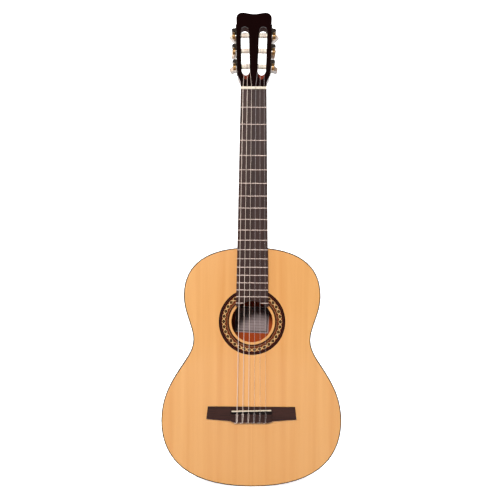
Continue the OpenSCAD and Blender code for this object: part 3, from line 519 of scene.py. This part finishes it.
def rosette_wood(name):
    """Inlaid rings and a mosaic of diamonds, by radius and angle about the soundhole."""
    material, tree, shader = new_material(name)
    place = split(tree, object_place(tree, IN_MILLIMETRES, (0, 0, -HOLE_Z / MM)))
    x, z = place["X"], place["Z"]
    radius = math_node(tree, "SQRT", math_node(
        tree, "MULTIPLY_ADD", x, x, math_node(tree, "MULTIPLY", z, z)))
    turn = math_node(tree, "MULTIPLY", math_node(tree, "ARCTAN2", x, z), MOSAIC_COUNT / math.tau)
    cell = math_node(tree, "ABSOLUTE", math_node(
        tree, "SUBTRACT", math_node(tree, "FRACT", math_node(tree, "ADD", turn, MOSAIC_COUNT)), 0.5))
    along = math_node(tree, "SNAP", math_node(
        tree, "MULTIPLY", cell, math.tau * MOSAIC_MIDDLE / MOSAIC_COUNT), MOSAIC_TILE)
    across = math_node(tree, "SNAP", math_node(
        tree, "ABSOLUTE", math_node(tree, "SUBTRACT", radius, MOSAIC_MIDDLE)), MOSAIC_TILE)
    ramp = tree.nodes.new("ShaderNodeValToRGB")
    ramp.color_ramp.interpolation = "CONSTANT"
    width = ROSETTE_OUT - ROSETTE_IN
    stops = ramp.color_ramp.elements
    stops[0].color = (*ROSETTE_BANDS[0][1], 1)
    stops.remove(stops[1])
    for inner, outer in zip(ROSETTE_BANDS, ROSETTE_BANDS[1:]):
        stops.new((inner[0] - ROSETTE_IN) / width).color = (*outer[1], 1)
    link(tree, math_node(tree, "DIVIDE", math_node(tree, "SUBTRACT", radius, ROSETTE_IN), width),
         ramp.inputs["Fac"])
    in_band = math_node(tree, "LESS_THAN", across, MOSAIC_HALF)
    diamond = diamond_mask(tree, along, across, DIAMOND)
    core = math_node(tree, "LESS_THAN", math_node(tree, "ADD", along, across), CORE_REACH)
    from_corner = [math_node(tree, "SUBTRACT", *pair) for pair in zip(CORNER, (along, across))]
    border = diamond_mask(tree, *from_corner, CORNER_DIAMOND)
    colour = ramp.outputs["Color"]
    colour = mix_colours(tree, math_node(tree, "MULTIPLY", border, in_band), colour, RED_BROWN)
    colour = mix_colours(tree, math_node(tree, "MULTIPLY", diamond, in_band), colour, BLACK_LINE)
    colour = mix_colours(tree, core, colour, CORE_COLOUR)
    fibres = noise(tree, object_place(tree, (900, 900, 300)), 1.0, 4.0, 0.6)
    shade = math_node(tree, "MULTIPLY", fibres, 0.2)
    link(tree, mix_colours(tree, shade, colour, DARK_BROWN), shader["Base Color"])
    add_haze(tree, shader, 0.18, 0.34)
    shader["Specular IOR Level"].default_value = 0.04
    add_bump(tree, shader, fibres, 0.05, 0.0002)
    return material


# Label in millimetres; each line has its distance from the paper's edge and half its width
LABEL_HALF_WIDTH = 36.0
LABEL_HALF_HEIGHT = 28.0
LABEL_MIDDLE = HOLE_Z / MM - 2.0
LABEL_TURN = math.radians(2.2)
THICK_LINE = (3.4, 0.8)
THIN_LINE = (5.0, 0.2)
RULED_INSET = 9.0
RULED_HALF_STEP = 3.0
RULED_HALF = 0.5
RULED_SHARE = 0.6
RULED_INK = (0.10, 0.08, 0.08)
FRAME_INK = (0.055, 0.045, 0.045)


def label_paper(name):
    """Plain paper with a frame of two printed lines and faint ruled lines."""
    material, tree, shader = new_material(name)
    offset = (LABEL_MIDDLE * math.sin(LABEL_TURN), 0, -LABEL_MIDDLE * math.cos(LABEL_TURN))
    place = split(tree, object_place(tree, IN_MILLIMETRES, offset, -LABEL_TURN))
    x, z = (math_node(tree, "ABSOLUTE", place[axis]) for axis in "XZ")
    from_side = math_node(tree, "SUBTRACT", LABEL_HALF_WIDTH, x)
    from_end = math_node(tree, "SUBTRACT", LABEL_HALF_HEIGHT, z)
    edge = math_node(tree, "MINIMUM", from_side, from_end)
    thick_line = math_node(tree, "COMPARE", edge, *THICK_LINE)
    thin_line = math_node(tree, "COMPARE", edge, *THIN_LINE)
    row = math_node(tree, "WRAP", place["Z"], RULED_HALF_STEP, -RULED_HALF_STEP)
    on_row = math_node(tree, "LESS_THAN", math_node(tree, "ABSOLUTE", row), RULED_HALF)
    ruled = math_node(tree, "MULTIPLY", on_row, math_node(tree, "GREATER_THAN", edge, RULED_INSET))
    fibres = noise(tree, object_place(tree), 900.0, 4.0, 0.7)
    paper = colours().paper
    colour = mix_colours(tree, fibres, paper, darker(paper, 0.82))
    colour = mix_colours(tree, math_node(tree, "MULTIPLY", ruled, RULED_SHARE), colour, RULED_INK)
    lines = math_node(tree, "MAXIMUM", thick_line, thin_line)
    link(tree, mix_colours(tree, lines, colour, FRAME_INK), shader["Base Color"])
    add_haze(tree, shader, 0.75, 0.95)
    add_bump(tree, shader, fibres, 0.2, 0.0001)
    return material


def make_materials():
    """Every finish of the guitar, by the name that the pieces ask for."""
    c = colours()
    along_x, along_y, along_z = (14, 420, 420), (420, 14, 420), (420, 420, 14)
    return {
        "spruce": wood("Spruce", c.spruce, c.spruce_line, (430, 430, 8), (0.42, 0.42, 0.28, 0.0),
                       (0.22, 0.38), 0.25, matched=True, bump=0.04),
        "mahogany": wood("Mahogany", c.mahogany, c.mahogany_dark, (330, 330, 9), (0.22, 0.75, 0.3, 0.5),
                         (0.20, 0.36), 0.2, matched=True, bump=0.05, gloss=0.3),
        "side_mahogany": wood("Side mahogany", c.mahogany, c.mahogany_dark, (9, 330, 9),
                              (0.1, 0.75, 0.3, 0.5), (0.20, 0.36), 0.2, bump=0.05, gloss=0.3),
        "bare_mahogany": wood("Bare mahogany", c.bare_mahogany, c.mahogany, (330, 330, 9),
                              (0.1, 0.5, 0.2, 0.4), (0.5, 0.7), 0.0, matched=True, bump=0.2, gloss=0.05),
        "slot_wood": wood("Slot wood", c.slot_wood, darker(c.slot_wood, 0.5), along_z,
                          (0.1, 0.5, 0.3, 0.4), (0.5, 0.7), 0.0, bump=0.15, gloss=0.05),
        # Slot walls: a darker wood as painted shade
        "slot_wall": wood("Slot wall", c.slot_wall, darker(c.slot_wall, 0.5), along_z,
                          (0.1, 0.5, 0.3, 0.4), (0.5, 0.7), 0.0, bump=0.15, gloss=0.05),
        "rosewood": wood("Rosewood", c.rosewood, c.rosewood_dark, (420, 420, 11), (0.25, 0.9, 0.35, 0.6),
                         (0.34, 0.55), 0.0, bump=0.22, gloss=0.12),
        # The bridge's channel gets painted shade
        "bridge_rosewood": paint_channel_shade(wood(
            "Bridge rosewood", c.rosewood, c.rosewood_dark, (11, 420, 420), (0.0, 0.9, 0.35, 0.6),
            (0.26, 0.46), 0.0, bump=0.18, gloss=0.08)),
        "dark_veneer": wood("Dark veneer", c.veneer, darker(c.veneer, 0.5), along_z,
                            (0.0, 0.8, 0.3, 0.3), (0.10, 0.22), 0.1, bump=0.02, gloss=0.1),
        "binding_wood": wood("Binding wood", c.binding, darker(c.binding, 0.4), (40, 420, 40),
                             (0.0, 0.8, 0.3, 0.3), (0.24, 0.40), 0.0, bump=0.03, gloss=0.08),
        "light_wood": wood("Bracing wood", c.light_wood, darker(c.light_wood, 0.7), along_x,
                           (0.2, 0.6, 0.4, 0.1), (0.55, 0.8), 0.0, bump=0.25),
        "lining_wood": wood("Lining wood", c.light_wood, darker(c.light_wood, 0.66), along_y,
                            (0.2, 0.6, 0.4, 0.1), (0.55, 0.8), 0.0, bump=0.25),
        "rosette_wood": rosette_wood("Rosette mosaic"),
        "label_paper": label_paper("Label paper"),
        "ivory_bone": plastic("Ivory bone", c.ivory, darker(c.ivory, 0.9), 160, (0.2, 0.4)),
        "roller_cream": plastic("Roller cream", c.cream, darker(c.cream, 0.86), 120, (0.25, 0.45)),
        "pearl_plastic": plastic("Pearl cream", c.pearl, (0.88, 0.72, 0.60), 190, (0.12, 0.25), 0.4),
        "gear_brass": metal("Gear brass", c.brass, (0.32, 0.50)),
        "worm_steel": metal("Worm steel", c.nickel, (0.22, 0.40)),
        "dark_steel": metal("Dark steel", c.dark_steel, (0.30, 0.50), (200, 200, 1500)),
        "screw_steel": metal("Screw steel", darker(c.nickel, 0.5), (0.25, 0.45)),
        "nickel": metal("Fret metal", c.fret_metal, (0.30, 0.45), (60, 1500, 1500), 0.15),
        "clear_nylon": nylon("Clear nylon"),
        "wound_silver": wound_wire("Wound silver"),
    }


# Mesh building blocks

FINISHES = {}
MERGE_REACH = 0.002 * MM
FLAT_TURN = math.radians(0.3)
SOFT_TURN = math.radians(28)


def add_object(name, data):
    made = bpy.data.objects.new(name, data)
    bpy.context.scene.collection.objects.link(made)
    return made


def piece(name, mesh, body, finish, replaced):
    """A finished piece: its object, body, finish and the solids that it stands for."""
    made = add_object(name, mesh)
    mesh.materials.append(FINISHES[finish])
    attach(made, body)
    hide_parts(*replaced)
    return made


def smooth_mesh(work, name, sharp_turn):
    """Ends a bmesh as a mesh that is smooth but for edges sharper than the turn, in degrees."""
    mesh = bpy.data.meshes.new(name)
    work.to_mesh(mesh)
    work.free()
    mesh.shade_smooth()
    mesh.set_sharp_from_angle(angle=math.radians(sharp_turn))
    return mesh


def merged_copy(node):
    """The solid's triangles with their corners merged and flat faces made whole."""
    work = bmesh.new()
    work.from_mesh(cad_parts[node].data)
    bmesh.ops.remove_doubles(work, verts=work.verts, dist=MERGE_REACH)
    bmesh.ops.dissolve_limit(
        work, angle_limit=FLAT_TURN, verts=work.verts, edges=work.edges, delimit={"NORMAL"})
    return work


def soften(work, width, segments):
    """Bevels the edges that turn sharply."""
    edges = [e for e in work.edges
             if len(e.link_faces) == 2 and e.calc_face_angle(0.0) > SOFT_TURN]
    bmesh.ops.bevel(
        work, geom=edges, offset=width, offset_type="OFFSET", segments=segments, profile=0.5,
        affect="EDGES", material=-1, clamp_overlap=True)


def dressed(node, body, finish, width=0.0, sharp_turn=32.0, segments=2):
    """A solid carried over with soft edges, smooth shading and its finish."""
    work = merged_copy(node)
    if width > 0.0:
        soften(work, width, segments)
    mesh = smooth_mesh(work, node, sharp_turn)
    made = piece(node.title(), mesh, body, finish, [node])
    if width > 0.0:
        weighted = made.modifiers.new("Even shading", "WEIGHTED_NORMAL")
        weighted.keep_sharp = True
    return made


def paint_faces(made, finish, chosen):
    """Gives another finish to the chosen faces."""
    made.data.materials.append(FINISHES[finish])
    last = len(made.data.materials) - 1
    for face in made.data.polygons:
        if chosen(face):
            face.material_index = last


# Frames of the head and its tuning machines

def edge_frame(way):
    """X outwards from the head's edge, Y back from under the veneer, Z along the edge."""
    head = Matrix.Translation((0, 0, NUT_BACK_Z)) @ Matrix.Rotation(-HEAD_TILT, 4, "X")
    edge = Matrix.Translation((EDGE_HALF, 0, EDGE_MID)) @ Matrix.Rotation(EDGE_TAPER, 4, "Y")
    return head @ Matrix.Diagonal((way, 1, 1, 1)) @ edge @ Matrix.Translation((0, 0, -EDGE_MID))


def slot_side(face):
    """A face's middle and normal in the frame of the head's nearer edge."""
    inward = edge_frame(1 if face.center.x > 0 else -1).inverted()
    return inward @ face.center, inward.to_3x3() @ face.normal


def in_slot(face):
    """Tells the walls of the slots and the string ramps from the head's faces."""
    place, normal = slot_side(face)
    across = abs(place.x - SLOT_MIDDLE)
    in_width = across < SLOT_HALF + SLOT_MARGIN
    return in_width and place.z < SLOT_TOP and abs(normal.y) < FLAT_NORMAL


def on_ramp(face):
    """Tells the string ramps from the other faces of the head and its veneer."""
    place, normal = slot_side(face)
    return in_slot(face) and place.z < RAMP_TOP and normal.y < RAMP_NORMAL


def tuner_way(number):
    return 1 if number <= TREBLE_COUNT else -1


def roller_z(number):
    step = number - 1 if number <= TREBLE_COUNT else STRING_COUNT - number
    return ROLLER_LOW + ROLLER_STEP * step


def tuner_frame(number):
    shift = Matrix.Translation((0, ROLLER_DEPTH, roller_z(number)))
    return edge_frame(tuner_way(number)) @ shift


def around_roller(number, x, radius, turn):
    """A point round a roller; turn is the angle from the tip side towards the front."""
    return tuner_frame(number) @ Vector((x, -radius * math.sin(turn), radius * math.cos(turn)))


# Routes of the strings

RUN_CLEAR = 0.4 * MM
SEAT_CLEAR = 0.06 * MM
NUT_CLEAR = 0.8 * MM
REST_TURN = math.radians(90)
EASE_TURN = math.radians(150)
TURN_STEP = math.radians(15)
TAIL_TURN = math.radians(30)
LOOP_STEPS = 6
TAIL_SHIFT = 0.1
# The tail's share of its turn and its way in from the last turn
TAIL_STEPS = ((0.5, 0.3 * MM), (0.85, 1.0 * MM), (1.0, 2.2 * MM))


def string_radius(number):
    return STRING_DIAMETERS[number - 1] / 2


def string_x(number, spread):
    return spread * ((STRING_COUNT + 1) / 2 - number) / (STRING_COUNT - 1)


def over_board(number, z):
    """A point on the straight line from the saddle to the nut."""
    r = string_radius(number)
    low = Vector((string_x(number, SADDLE_SPREAD), -SADDLE_HEIGHT - r, SADDLE_Z))
    high = Vector((string_x(number, NUT_SPREAD), -NUT_HEIGHT - r, NUT_FRONT_Z))
    return low.lerp(high, (z - SADDLE_Z) / (NUT_FRONT_Z - SADDLE_Z))


def rounded_route(corners, steps):
    """A smooth curve through the corners."""
    route = []
    last = len(corners) - 1
    for i in range(last):
        a, b = corners[max(i - 1, 0)], corners[i]
        c, d = corners[i + 1], corners[min(i + 2, last)]
        for k in range(steps):
            t = k / steps
            route.append(0.5 * (2 * b + (c - a) * t + (2 * a - 5 * b + 4 * c - d) * t * t
                                + (3 * b - a - 3 * c + d) * t ** 3))
    return route + [corners[last]]


def tie_route(number):
    """From the string's free end, round its knot and over the tie block, into its hole."""
    r = string_radius(number)
    x = string_x(number, SADDLE_SPREAD)
    top = -TIE_HEIGHT - r
    hole = -TIE_HOLE_HEIGHT
    out = 2.2 * r + 0.3 * MM
    rear = TIE_REAR_Z - r
    corners = [
        (x - 5.6 * MM, top + 2.2 * r, rear - 0.3 * MM), (x - 3.2 * MM, top + 1.2 * r, rear - 0.5 * MM),
        (x - 1.6 * MM, top - 0.2 * r, rear + 1.0 * MM), (x - out, top, rear + 5 * MM),
        (x - out, top, TIE_FRONT_Z - 3 * MM), (x - out, top + 0.2 * r, TIE_FRONT_Z + 0.4 * MM),
        (x - 0.7 * out, hole + 0.1 * r - 0.3 * MM, TIE_FRONT_Z + 2.1 * MM),
        (x + 0.6 * out, hole - 0.2 * MM, TIE_FRONT_Z + 2.2 * MM),
        (x + out, top + 0.3 * r, TIE_FRONT_Z + 0.7 * MM),
        (x + 0.8 * out, top, TIE_FRONT_Z - 3 * MM), (x + 0.3 * out, top, rear + 4 * MM),
        (x, top, rear + 0.7 * MM), (x, top + 0.6 * MM, rear - 0.6 * MM),
        (x, 0.5 * (top + hole), rear - 1.2 * MM), (x, hole - 0.5 * MM, rear - 0.9 * MM),
        (x, hole, rear + 0.3 * MM), (x, hole, TIE_FRONT_Z - 6 * MM)]
    return rounded_route([Vector(c) for c in corners], LOOP_STEPS)


def touch_turn(number):
    """Where the string, coming from the nut, first meets its roller."""
    leaving = over_board(number, NUT_BACK_Z + NUT_CLEAR)
    at = tuner_frame(number).inverted() @ leaving
    reach = ROLLER_RADIUS + RUN_CLEAR + string_radius(number)
    return math.atan2(-at.y, at.z) - math.acos(reach / math.hypot(at.y, at.z))


def winding_route(number):
    """From the roller's front round its turns and into its hole."""
    r = string_radius(number)
    first = SLOT_MIDDLE + WINDING_SHIFTS[number - 1]
    step = WINDING_WAYS[number - 1] * (2 * r + TURN_GAP)
    whole = REST_TURN + math.tau * WINDING_TURNS[number - 1]
    start = touch_turn(number)
    route = []
    for i in range(round(whole / TURN_STEP) + 1):
        turn = i * TURN_STEP
        t = min(turn / EASE_TURN, 1.0)
        ease = t * t * (3 - 2 * t)
        x = first + step * ease * (1 + (turn - REST_TURN) / math.tau)
        radius = ROLLER_RADIUS + r + RUN_CLEAR + (SEAT_CLEAR - RUN_CLEAR) * ease
        route.append(around_roller(number, x, radius, start - turn))
    for share, drop in TAIL_STEPS:
        route.append(around_roller(
            number, x + step * TAIL_SHIFT, radius - drop, start - whole - share * TAIL_TURN))
    return route


def string_route(number):
    """The whole string, from its knot to its roller."""
    lean = string_x(number, SADDLE_SPREAD) * math.tan(SADDLE_TURN)
    crest = over_board(number, SADDLE_Z) + Vector((0, 0, lean))
    behind = (Vector((0, 0.75, -1.9)) * MM, Vector((0, 0.22, -1.0)) * MM)
    saddle = [crest + step for step in behind] + [crest]
    tie = tie_route(number)
    down = tie[-1] + Vector((0, 0, 6 * MM))
    board = [over_board(number, NUT_FRONT_Z), over_board(number, NUT_BACK_Z + NUT_CLEAR)]
    return tie + [down] + saddle + board + winding_route(number)


def cord_mesh(name, route, radius, sides, level):
    """One unbroken tube: a ring extruded along its route; the attribute along keeps its length."""
    work = bmesh.new()
    length = work.verts.layers.float.new("along")
    ring = bmesh.ops.create_circle(work, cap_ends=False, radius=radius, segments=sides)["verts"]
    edges = list(work.edges)
    bmesh.ops.contextual_create(work, geom=edges)
    last_place, done = Matrix.Identity(4), 0.0
    for i, point in enumerate(route):
        way = (route[min(i + 1, len(route) - 1)] - route[max(i - 1, 0)]).normalized()
        side = level.cross(way).normalized()
        turn = Matrix((side, way.cross(side), way)).transposed().to_4x4()
        place = Matrix.Translation(point) @ turn
        if i:
            made = bmesh.ops.extrude_edge_only(work, edges=edges)["geom"]
            ring = [g for g in made if isinstance(g, bmesh.types.BMVert)]
            edges = [g for g in made if isinstance(g, bmesh.types.BMEdge)
                     and all(v in ring for v in g.verts)]
            done += (point - route[i - 1]).length
        bmesh.ops.transform(work, matrix=place @ last_place.inverted(), verts=ring)
        for corner in ring:
            corner[length] = done
        last_place = place
    bmesh.ops.contextual_create(work, geom=edges)
    bmesh.ops.recalc_face_normals(work, faces=work.faces)
    return smooth_mesh(work, name, sharp_turn=50.0)


class GUITAR_OT_sound_box(bpy.types.Operator):
    """Soundboard, sides and back, and the bindings with their sanded edges"""

    bl_idname = "guitar.sound_box"
    bl_label = "Sound box"

    INNER_NORMAL = -0.7

    def execute(self, context):
        dressed("soundboard", ROOT_BODY, "spruce")
        back = dressed("back_plate", ROOT_BODY, "mahogany", sharp_turn=20.0)
        paint_faces(back, "bare_mahogany", lambda f: f.normal.y < self.INNER_NORMAL)
        for side in ("side_bass", "side_treble"):
            dressed(side, ROOT_BODY, "side_mahogany")
        dressed("bindings", ROOT_BODY, "binding_wood", sizes().wood_edge, segments=3)
        return {"FINISHED"}


class GUITAR_OT_rosette(bpy.types.Operator):
    """Inlaid ring round the soundhole, spun from its section"""

    bl_idname = "guitar.rosette"
    bl_label = "Rosette"

    STEPS = 240

    def execute(self, context):
        low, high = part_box("rosette")
        work = bmesh.new()
        corners = [work.verts.new((r * MM, y, HOLE_Z)) for r, y in (
            (ROSETTE_IN, low.y), (ROSETTE_OUT, low.y), (ROSETTE_OUT, high.y), (ROSETTE_IN, high.y))]
        sides = [work.edges.new((corners[i - 1], corners[i])) for i in range(4)]
        bmesh.ops.spin(
            work, geom=corners + sides, cent=(0, 0, HOLE_Z), axis=(0, 1, 0), angle=math.tau,
            steps=self.STEPS, use_merge=True)
        bmesh.ops.recalc_face_normals(work, faces=work.faces)
        mesh = smooth_mesh(work, "rosette", sharp_turn=30.0)
        piece("Rosette", mesh, ROOT_BODY, "rosette_wood", ["rosette"])
        return {"FINISHED"}


class GUITAR_OT_inside(bpy.types.Operator):
    """Linings, tail block, bars and braces, and the paper label"""

    bl_idname = "guitar.inside"
    bl_label = "Inside of the box"

    def execute(self, context):
        edge = sizes().wood_edge
        dressed("linings", ROOT_BODY, "lining_wood")
        dressed("tail_block", ROOT_BODY, "lining_wood", edge)
        for bars in ("harmonic_bars", "fan_braces", "back_braces"):
            dressed(bars, ROOT_BODY, "light_wood", edge)
        dressed("paper_label", ROOT_BODY, "label_paper")
        return {"FINISHED"}


class GUITAR_OT_neck(bpy.types.Operator):
    """Neck, heel cap and the slotted head with its veneer"""

    bl_idname = "guitar.neck"
    bl_label = "Neck and head"

    def execute(self, context):
        edge = sizes().wood_edge
        dressed("neck", ROOT_BODY, "mahogany", sharp_turn=40.0)
        dressed("heel_cap", ROOT_BODY, "binding_wood", edge)
        head = dressed("headstock", ROOT_BODY, "mahogany", edge)
        # The slot walls get painted shade
        paint_faces(head, "slot_wall", in_slot)
        paint_faces(head, "slot_wood", on_ramp)
        veneer = dressed("head_veneer", ROOT_BODY, "dark_veneer", edge)
        paint_faces(veneer, "slot_wood", on_ramp)
        return {"FINISHED"}


class GUITAR_OT_fingerboard(bpy.types.Operator):
    """Fingerboard, frets and nut"""

    bl_idname = "guitar.fingerboard"
    bl_label = "Fingerboard"

    def execute(self, context):
        dressed("fingerboard", ROOT_BODY, "rosewood")
        dressed("frets", ROOT_BODY, "nickel", sizes().metal_edge)
        dressed("nut", ROOT_BODY, "ivory_bone", sizes().metal_edge)
        return {"FINISHED"}


class GUITAR_OT_bridge(bpy.types.Operator):
    """Bridge with its tie block, and the saddle"""

    bl_idname = "guitar.bridge"
    bl_label = "Bridge"

    def execute(self, context):
        dressed("bridge", ROOT_BODY, "bridge_rosewood", sizes().wood_edge,
                segments=3)
        dressed("saddle", ROOT_BODY, "ivory_bone", sizes().metal_edge)
        return {"FINISHED"}


class GUITAR_OT_tuners(bpy.types.Operator):
    """Tuning machines: plates, screws, rollers, gears, worms and buttons"""

    bl_idname = "guitar.tuners"
    bl_label = "Tuning machines"

    SHAFT_START = -0.5 * MM
    SCREW_START = 8.86 * MM
    WORM_END = -5.5 * MM

    def execute(self, context):
        edge = sizes().metal_edge
        for side in ("bass", "treble"):
            dressed(f"tuner_plate_{side}", ROOT_BODY, "dark_steel", edge)
        dressed("tuner_screws", ROOT_BODY, "screw_steel", edge)
        for number in STRING_NUMBERS:
            inward = tuner_frame(number).inverted()
            turning = f"roller_body_{number}"
            driving = f"worm_body_{number}"
            roller = dressed(f"roller_{number}", turning, "roller_cream", edge)
            paint_faces(roller, "worm_steel", lambda f: (inward @ f.center).x > self.SHAFT_START)
            gear = dressed(f"gear_{number}", turning, "gear_brass", edge)
            paint_faces(gear, "screw_steel", lambda f: (inward @ f.center).x > self.SCREW_START)
            worm = dressed(f"worm_{number}", driving, "worm_steel", sharp_turn=44.0)
            paint_faces(worm, "dark_steel", lambda f: (inward @ f.center).y < self.WORM_END)
            dressed(f"button_{number}", driving, "pearl_plastic", sizes().button_edge, segments=4)
        return {"FINISHED"}


class GUITAR_OT_strings(bpy.types.Operator):
    """Six strings, each one unbroken from its knot at the bridge to its roller"""

    bl_idname = "guitar.strings"
    bl_label = "Strings"

    SIDES = 10
    LEAN = 0.05

    def execute(self, context):
        for number in STRING_NUMBERS:
            finish = "clear_nylon" if number <= TREBLE_COUNT else "wound_silver"
            mesh = cord_mesh(f"string_{number}", string_route(number), string_radius(number),
                             self.SIDES, level=Vector((1, 0, 0)))
            made = add_object(f"String_{number}", mesh)
            mesh.materials.append(FINISHES[finish])
            self.follow_roller(made, number)
            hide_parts(f"string_{number}", f"winding_{number}")
        return {"FINISHED"}

    def follow_roller(self, made, number):
        """Bakes the string's place into its mesh."""
        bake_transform(made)


class GUITAR_OT_studio(bpy.types.Operator):
    """Seamless pale floor, soft lights and the camera"""

    bl_idname = "guitar.studio"
    bl_label = "Studio"

    FLOOR_HALF = 4.0
    COVE_RADIUS = 1.6
    COVE_STEPS = 32
    BACK_Y = 2.2
    PAPER_GLOW = 0.9
    # Strength of the air's light, and what the camera sees beyond that
    AIR = 0.1
    AIR_IN_VIEW = 0.9
    # Each light: name, place, aim, size, power
    LIGHTS = (
        ("Key", (-0.4, -2.5, 0.5), (0.0, 0.0, -0.4), 0.45, 61.0),
        ("Left", (-2.4, -1.6, 0.5), (0.0, 0.0, -0.35), 1.6, 10.0),
        ("Right", (2.4, -1.6, 0.3), (0.0, 0.0, -0.35), 1.6, 8.0),
        ("Backdrop", (0.0, 0.6, 2.6), (0.0, 2.6, 0.2), 2.4, 120.0),
        ("Rear left", (-2.3, 1.7, 0.6), (0.0, 0.0, -0.35), 1.2, 26.0),
        ("Rear right", (2.3, 1.7, 0.4), (0.0, 0.0, -0.35), 1.2, 18.0))

    def execute(self, context):
        self.make_floor(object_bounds()[0].z)
        self.make_lights()
        self.make_air()
        self.make_camera()
        context.scene.view_settings.view_transform = "Standard"
        return {"FINISHED"}

    def make_floor(self, height):
        work = bmesh.new()
        bmesh.ops.create_grid(work, x_segments=1, y_segments=1, size=self.FLOOR_HALF)
        bmesh.ops.translate(work, verts=work.verts, vec=(0, self.BACK_Y - self.FLOOR_HALF, height))
        back = max(work.edges, key=lambda e: e.verts[0].co.y + e.verts[1].co.y)
        bend = bmesh.ops.spin(
            work, geom=[back, *back.verts], cent=(0, self.BACK_Y, height + self.COVE_RADIUS),
            axis=(1, 0, 0), angle=math.pi / 2, steps=self.COVE_STEPS)["geom_last"]
        wall = [g for g in bend if isinstance(g, bmesh.types.BMEdge)]
        raised = bmesh.ops.extrude_edge_only(work, edges=wall)["geom"]
        rim = [g for g in raised if isinstance(g, bmesh.types.BMVert)]
        bmesh.ops.translate(work, verts=rim, vec=(0, 0, self.FLOOR_HALF))
        floor = add_object("Studio_floor", smooth_mesh(work, "studio_floor", sharp_turn=60.0))
        floor.data.materials.append(self.floor_material())
        floor.visible_diffuse = False
        floor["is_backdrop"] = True

    def floor_material(self):
        material, tree, shader = new_material("Studio paper")
        fibres = noise(tree, object_place(tree), 40.0, 4.0, 0.6)
        pale, paler = (0.90, 0.90, 0.90), (0.93, 0.93, 0.93)
        link(tree, mix_colours(tree, fibres, paler, pale), shader["Base Color"])
        shader["Roughness"].default_value = 0.95
        shader["Specular IOR Level"].default_value = 0.1
        shader["Emission Color"].default_value = (1, 1, 1, 1)
        shader["Emission Strength"].default_value = self.PAPER_GLOW
        return material

    def make_lights(self):
        for name, place, aim, size, power in self.LIGHTS:
            lamp = bpy.data.lights.new(name, "AREA")
            lamp.size = size
            lamp.energy = power
            made = add_object(name, lamp)
            made.location = place
            made.rotation_euler = (Vector(aim) - made.location).to_track_quat("-Z", "Y").to_euler()

    def make_air(self):
        world = bpy.data.worlds.new("Studio air")
        world.use_nodes = True
        tree = world.node_tree
        background = tree.nodes["Background"].inputs
        background["Color"].default_value = (1, 1, 1, 1)
        seen = tree.nodes.new("ShaderNodeLightPath").outputs["Is Camera Ray"]
        strength = math_node(tree, "MULTIPLY_ADD", seen, self.AIR_IN_VIEW, self.AIR)
        link(tree, strength, background["Strength"])
        bpy.context.scene.world = world

    def make_camera(self):
        s = sizes()
        lens = bpy.data.cameras.new("Camera")
        lens.sensor_fit = "HORIZONTAL"
        lens.angle = 2 * math.atan(s.camera_width / 2 / s.camera_distance)
        lens.clip_end = 50.0
        made = add_object("Camera", lens)
        turn = Matrix.Rotation(math.pi / 2, 4, "X") @ Matrix.Rotation(s.camera_roll, 4, "Z")
        made.matrix_world = Matrix.Translation((s.camera_x, -s.camera_distance, s.camera_z)) @ turn
        bpy.context.scene.camera = made


class GUITAR_PT_sidebar(bpy.types.Panel):
    """Lists the guitar's pieces, sizes and colours"""

    bl_idname = "GUITAR_PT_sidebar"
    bl_label = "Classical guitar"
    bl_space_type = "VIEW_3D"
    bl_region_type = "UI"
    bl_category = "Guitar"

    def draw(self, context):
        for operator in MAKERS:
            self.layout.operator(operator.bl_idname)
        for group in (sizes(), colours()):
            for label in group.__annotations__:
                self.layout.prop(group, label)


MAKERS = (
    GUITAR_OT_sound_box, GUITAR_OT_rosette, GUITAR_OT_inside, GUITAR_OT_neck, GUITAR_OT_fingerboard,
    GUITAR_OT_bridge, GUITAR_OT_tuners, GUITAR_OT_strings, GUITAR_OT_studio)
CLASSES = (GuitarColours, GuitarSizes, *MAKERS, GUITAR_PT_sidebar)


def register():
    for made in CLASSES:
        bpy.utils.register_class(made)
    bpy.types.Scene.guitar_colours = bpy.props.PointerProperty(type=GuitarColours)
    bpy.types.Scene.guitar_sizes = bpy.props.PointerProperty(type=GuitarSizes)


def unregister():
    del bpy.types.Scene.guitar_sizes
    del bpy.types.Scene.guitar_colours
    for made in reversed(CLASSES):
        bpy.utils.unregister_class(made)


def main():
    register()
    FINISHES.update(make_materials())
    bpy.ops.guitar.sound_box()
    bpy.ops.guitar.rosette()
    bpy.ops.guitar.inside()
    bpy.ops.guitar.neck()
    bpy.ops.guitar.fingerboard()
    bpy.ops.guitar.bridge()
    bpy.ops.guitar.tuners()
    bpy.ops.guitar.strings()
    bpy.ops.guitar.studio()


if __name__ == "__main__":
    main()
